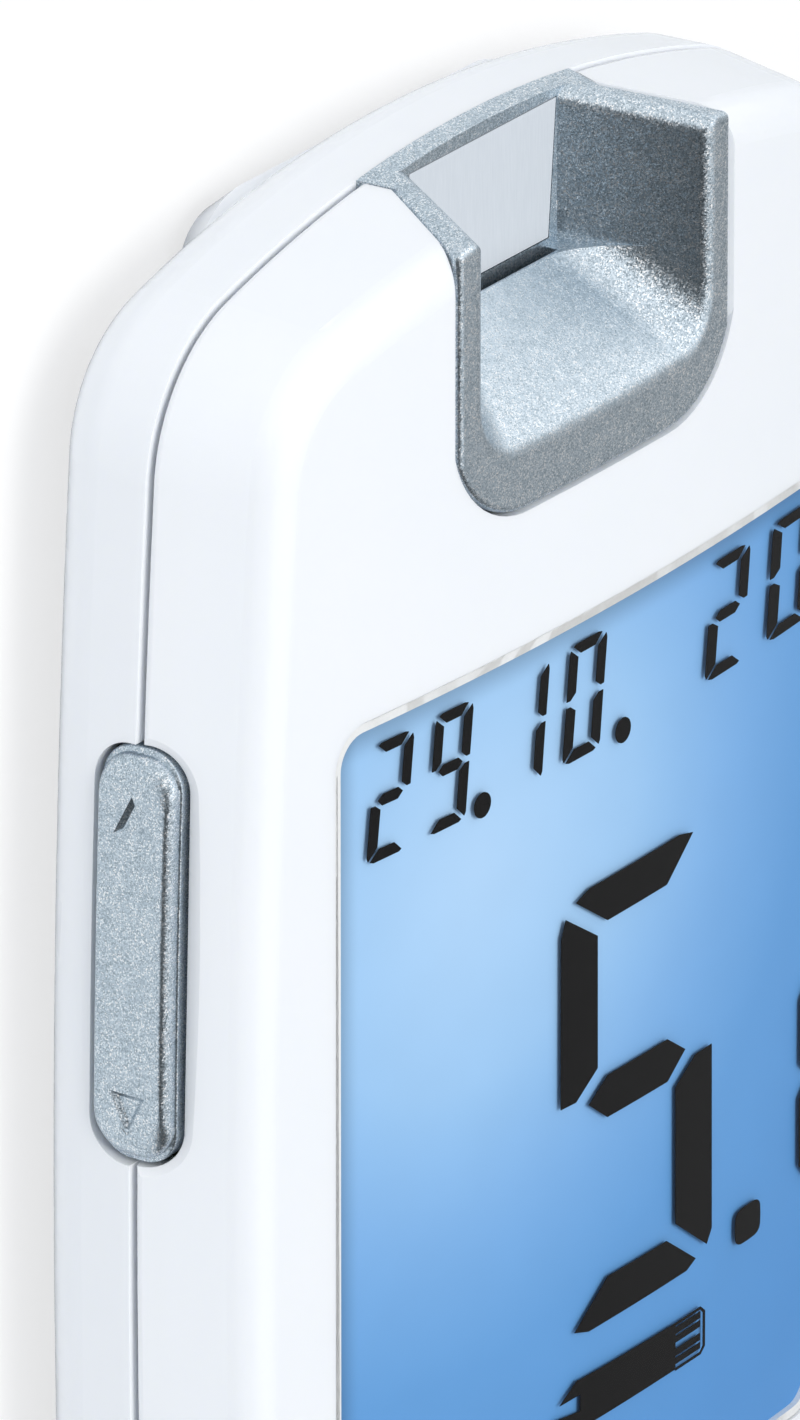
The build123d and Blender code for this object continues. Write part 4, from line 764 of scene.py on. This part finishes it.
dotted = add(feet_tree, "GeometryNodeInstanceOnPoints",
             {"Points": places.outputs["Mesh"], "Instance": lathed.outputs[0]})
solid = add(feet_tree, "GeometryNodeRealizeInstances", {"Geometry": dotted.outputs["Instances"]})
painted = add(feet_tree, "GeometryNodeSetMaterial",
              {"Geometry": solid.outputs["Geometry"], "Material": rubber})
feet_out = feet_tree.nodes.new("NodeGroupOutput")
feet_tree.links.new(painted.outputs["Geometry"], feet_out.inputs["Geometry"])

carrier = bpy.data.objects.new("feet_carrier", bpy.data.meshes.new("feet_carrier"))
bpy.context.scene.collection.objects.link(carrier)
modifier = carrier.modifiers.new("four pads", "NODES")
modifier.node_group = feet_tree
for item in feet_tree.interface.items_tree:
    if item.in_out == "INPUT":
        modifier[item.identifier] = sizes[item.name]
evaluated = carrier.evaluated_get(bpy.context.evaluated_depsgraph_get())
feet_mesh = bpy.data.meshes.new_from_object(evaluated)
feet_mesh.transform(Matrix.Translation(foot_middle))
bpy.data.objects.remove(carrier)
feet = bpy.data.objects.new("rubber_pads", feet_mesh)
bpy.context.scene.collection.objects.link(feet)
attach(feet, "housing")
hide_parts("rubber_feet")


# ---------------------------------------------------------------- parts inside
# The connectors, frames, chips and contacts are out of sight when the meter is closed, and each
# has its own plain finish: moulded grain on plastics, drawn grain on metals, speckle on ceramics.
METAL_DRAWN = (1.0, 8.0, 8.0)
ROUGHNESS_SPREAD = 0.15
# each row: material, nodes, darker and lighter tone, grain in mm, metallic and roughness
INSIDE = (
    # dull black with the fine grain of the mould
    ("satin black PBT", ("strip_connector", "rocker_switches", "power_switch", "buzzer",
                         "ejector_carriage", "data_socket"),
     "#17181a", "#222326", 0.25, 0.0, 0.42),
    # warm and bright, with lines from drawing the strip
    ("gold plated bronze", ("strip_contacts",), "#c9a24a", "#dcb967", 0.3, 1.0, 0.25),
    # flat white that frames the display's edge
    ("white adhesive film", ("window_adhesive",), "#d9dbdd", "#e3e5e7", 0.6, 0.0, 0.5),
    # smooth polished glass, tinted by the crystal in it
    ("blue-grey display glass", ("lcd_glass",), "#5f93c4", "#79a9d4", 4.0, 0.0, 0.08),
    # soft white frame, moulded and unpainted
    ("satin white polycarbonate", ("lcd_holder",), "#dfe1e3", "#e9ebec", 0.5, 0.0, 0.4),
    # pale and glossy, with blue from the lamps
    ("clear acrylic light guide", ("backlight_guide",), "#b9d6f2", "#cfe3f7", 1.2, 0.0, 0.1),
    # bright and even, so that no light is lost
    ("white reflective film", ("backlight_reflector",), "#eceef0", "#f5f6f7", 2.0, 0.0, 0.3),
    # milky, with the yellow of the phosphor
    ("lamp resin", ("backlight_leds",), "#d4e2f6", "#f2efc9", 1.0, 0.0, 0.3),
    # matt, with pink and black layers pressed in turn
    ("striped conductive rubber", ("zebra_strip",), "#2b2a2c", "#b98f93", 0.2, 0.0, 0.6),
    # dark green and slightly glossy, with the weave of the glass cloth under it
    ("green solder mask", ("circuit_board",), "#0b4a27", "#11592f", 1.5, 0.0, 0.3),
    # matt black with a sandy grain
    ("moulded chip epoxy", ("microcontroller", "memory_chip"),
     "#1a1a1b", "#29292b", 0.15, 0.0, 0.55),
    # bright pressed tin
    ("tinned crystal can", ("crystal",), "#b2b5b8", "#cccfd1", 0.4, 1.0, 0.3),
    # dry brown with darker specks
    ("fired ceramic", ("board_components",), "#6b563d", "#8a7252", 0.3, 0.0, 0.5),
    # cool grey with drawn lines
    ("zinc plated steel", ("rocker_pin", "housing_screws", "board_screws"),
     "#9da1a6", "#c2c5c9", 0.3, 1.0, 0.3),
    # bright and smooth, pressed from sheet
    ("nickel plated cell can", ("coin_cells",), "#b9bbbe", "#d3d4d6", 0.8, 1.0, 0.25),
    # slightly yellow spring sheet
    ("nickel silver spring", ("battery_face_contacts", "battery_rim_contacts"),
     "#b8b29f", "#d0cab6", 0.4, 1.0, 0.3),
)
for title, names, darker, lighter, grain_mm, metallic, roughness in INSIDE:
    made, tree, output = blank(title)
    place = add(tree, "ShaderNodeTexCoord").outputs["Object"]
    laid = add(tree, "ShaderNodeMapping",
               {"Vector": place, "Scale": METAL_DRAWN if metallic else (1.0, 1.0, 1.0)})
    grain = add(tree, "ShaderNodeTexNoise",
                {"Vector": laid.outputs[0], "Scale": 1 / (grain_mm * MM), "Detail": 4.0})
    tint = add(tree, "ShaderNodeMix", {0: grain.outputs["Fac"], 6: colour(darker),
                                       7: colour(lighter)}, data_type="RGBA")
    rub = add(tree, "ShaderNodeMapRange",
              {"Value": grain.outputs["Fac"], "To Min": roughness * (1 - ROUGHNESS_SPREAD),
               "To Max": roughness * (1 + ROUGHNESS_SPREAD)})
    skin = add(tree, "ShaderNodeBump", {"Height": grain.outputs["Fac"], "Strength": 0.25,
                                        "Distance": 0.02 * MM})
    coat = add(tree, "ShaderNodeBsdfPrincipled",
               {"Base Color": tint.outputs[2], "Metallic": metallic,
                "Roughness": rub.outputs[0], "Normal": skin.outputs[0]})
    tree.links.new(coat.outputs[0], output.inputs["Surface"])
    dress(made, *names)
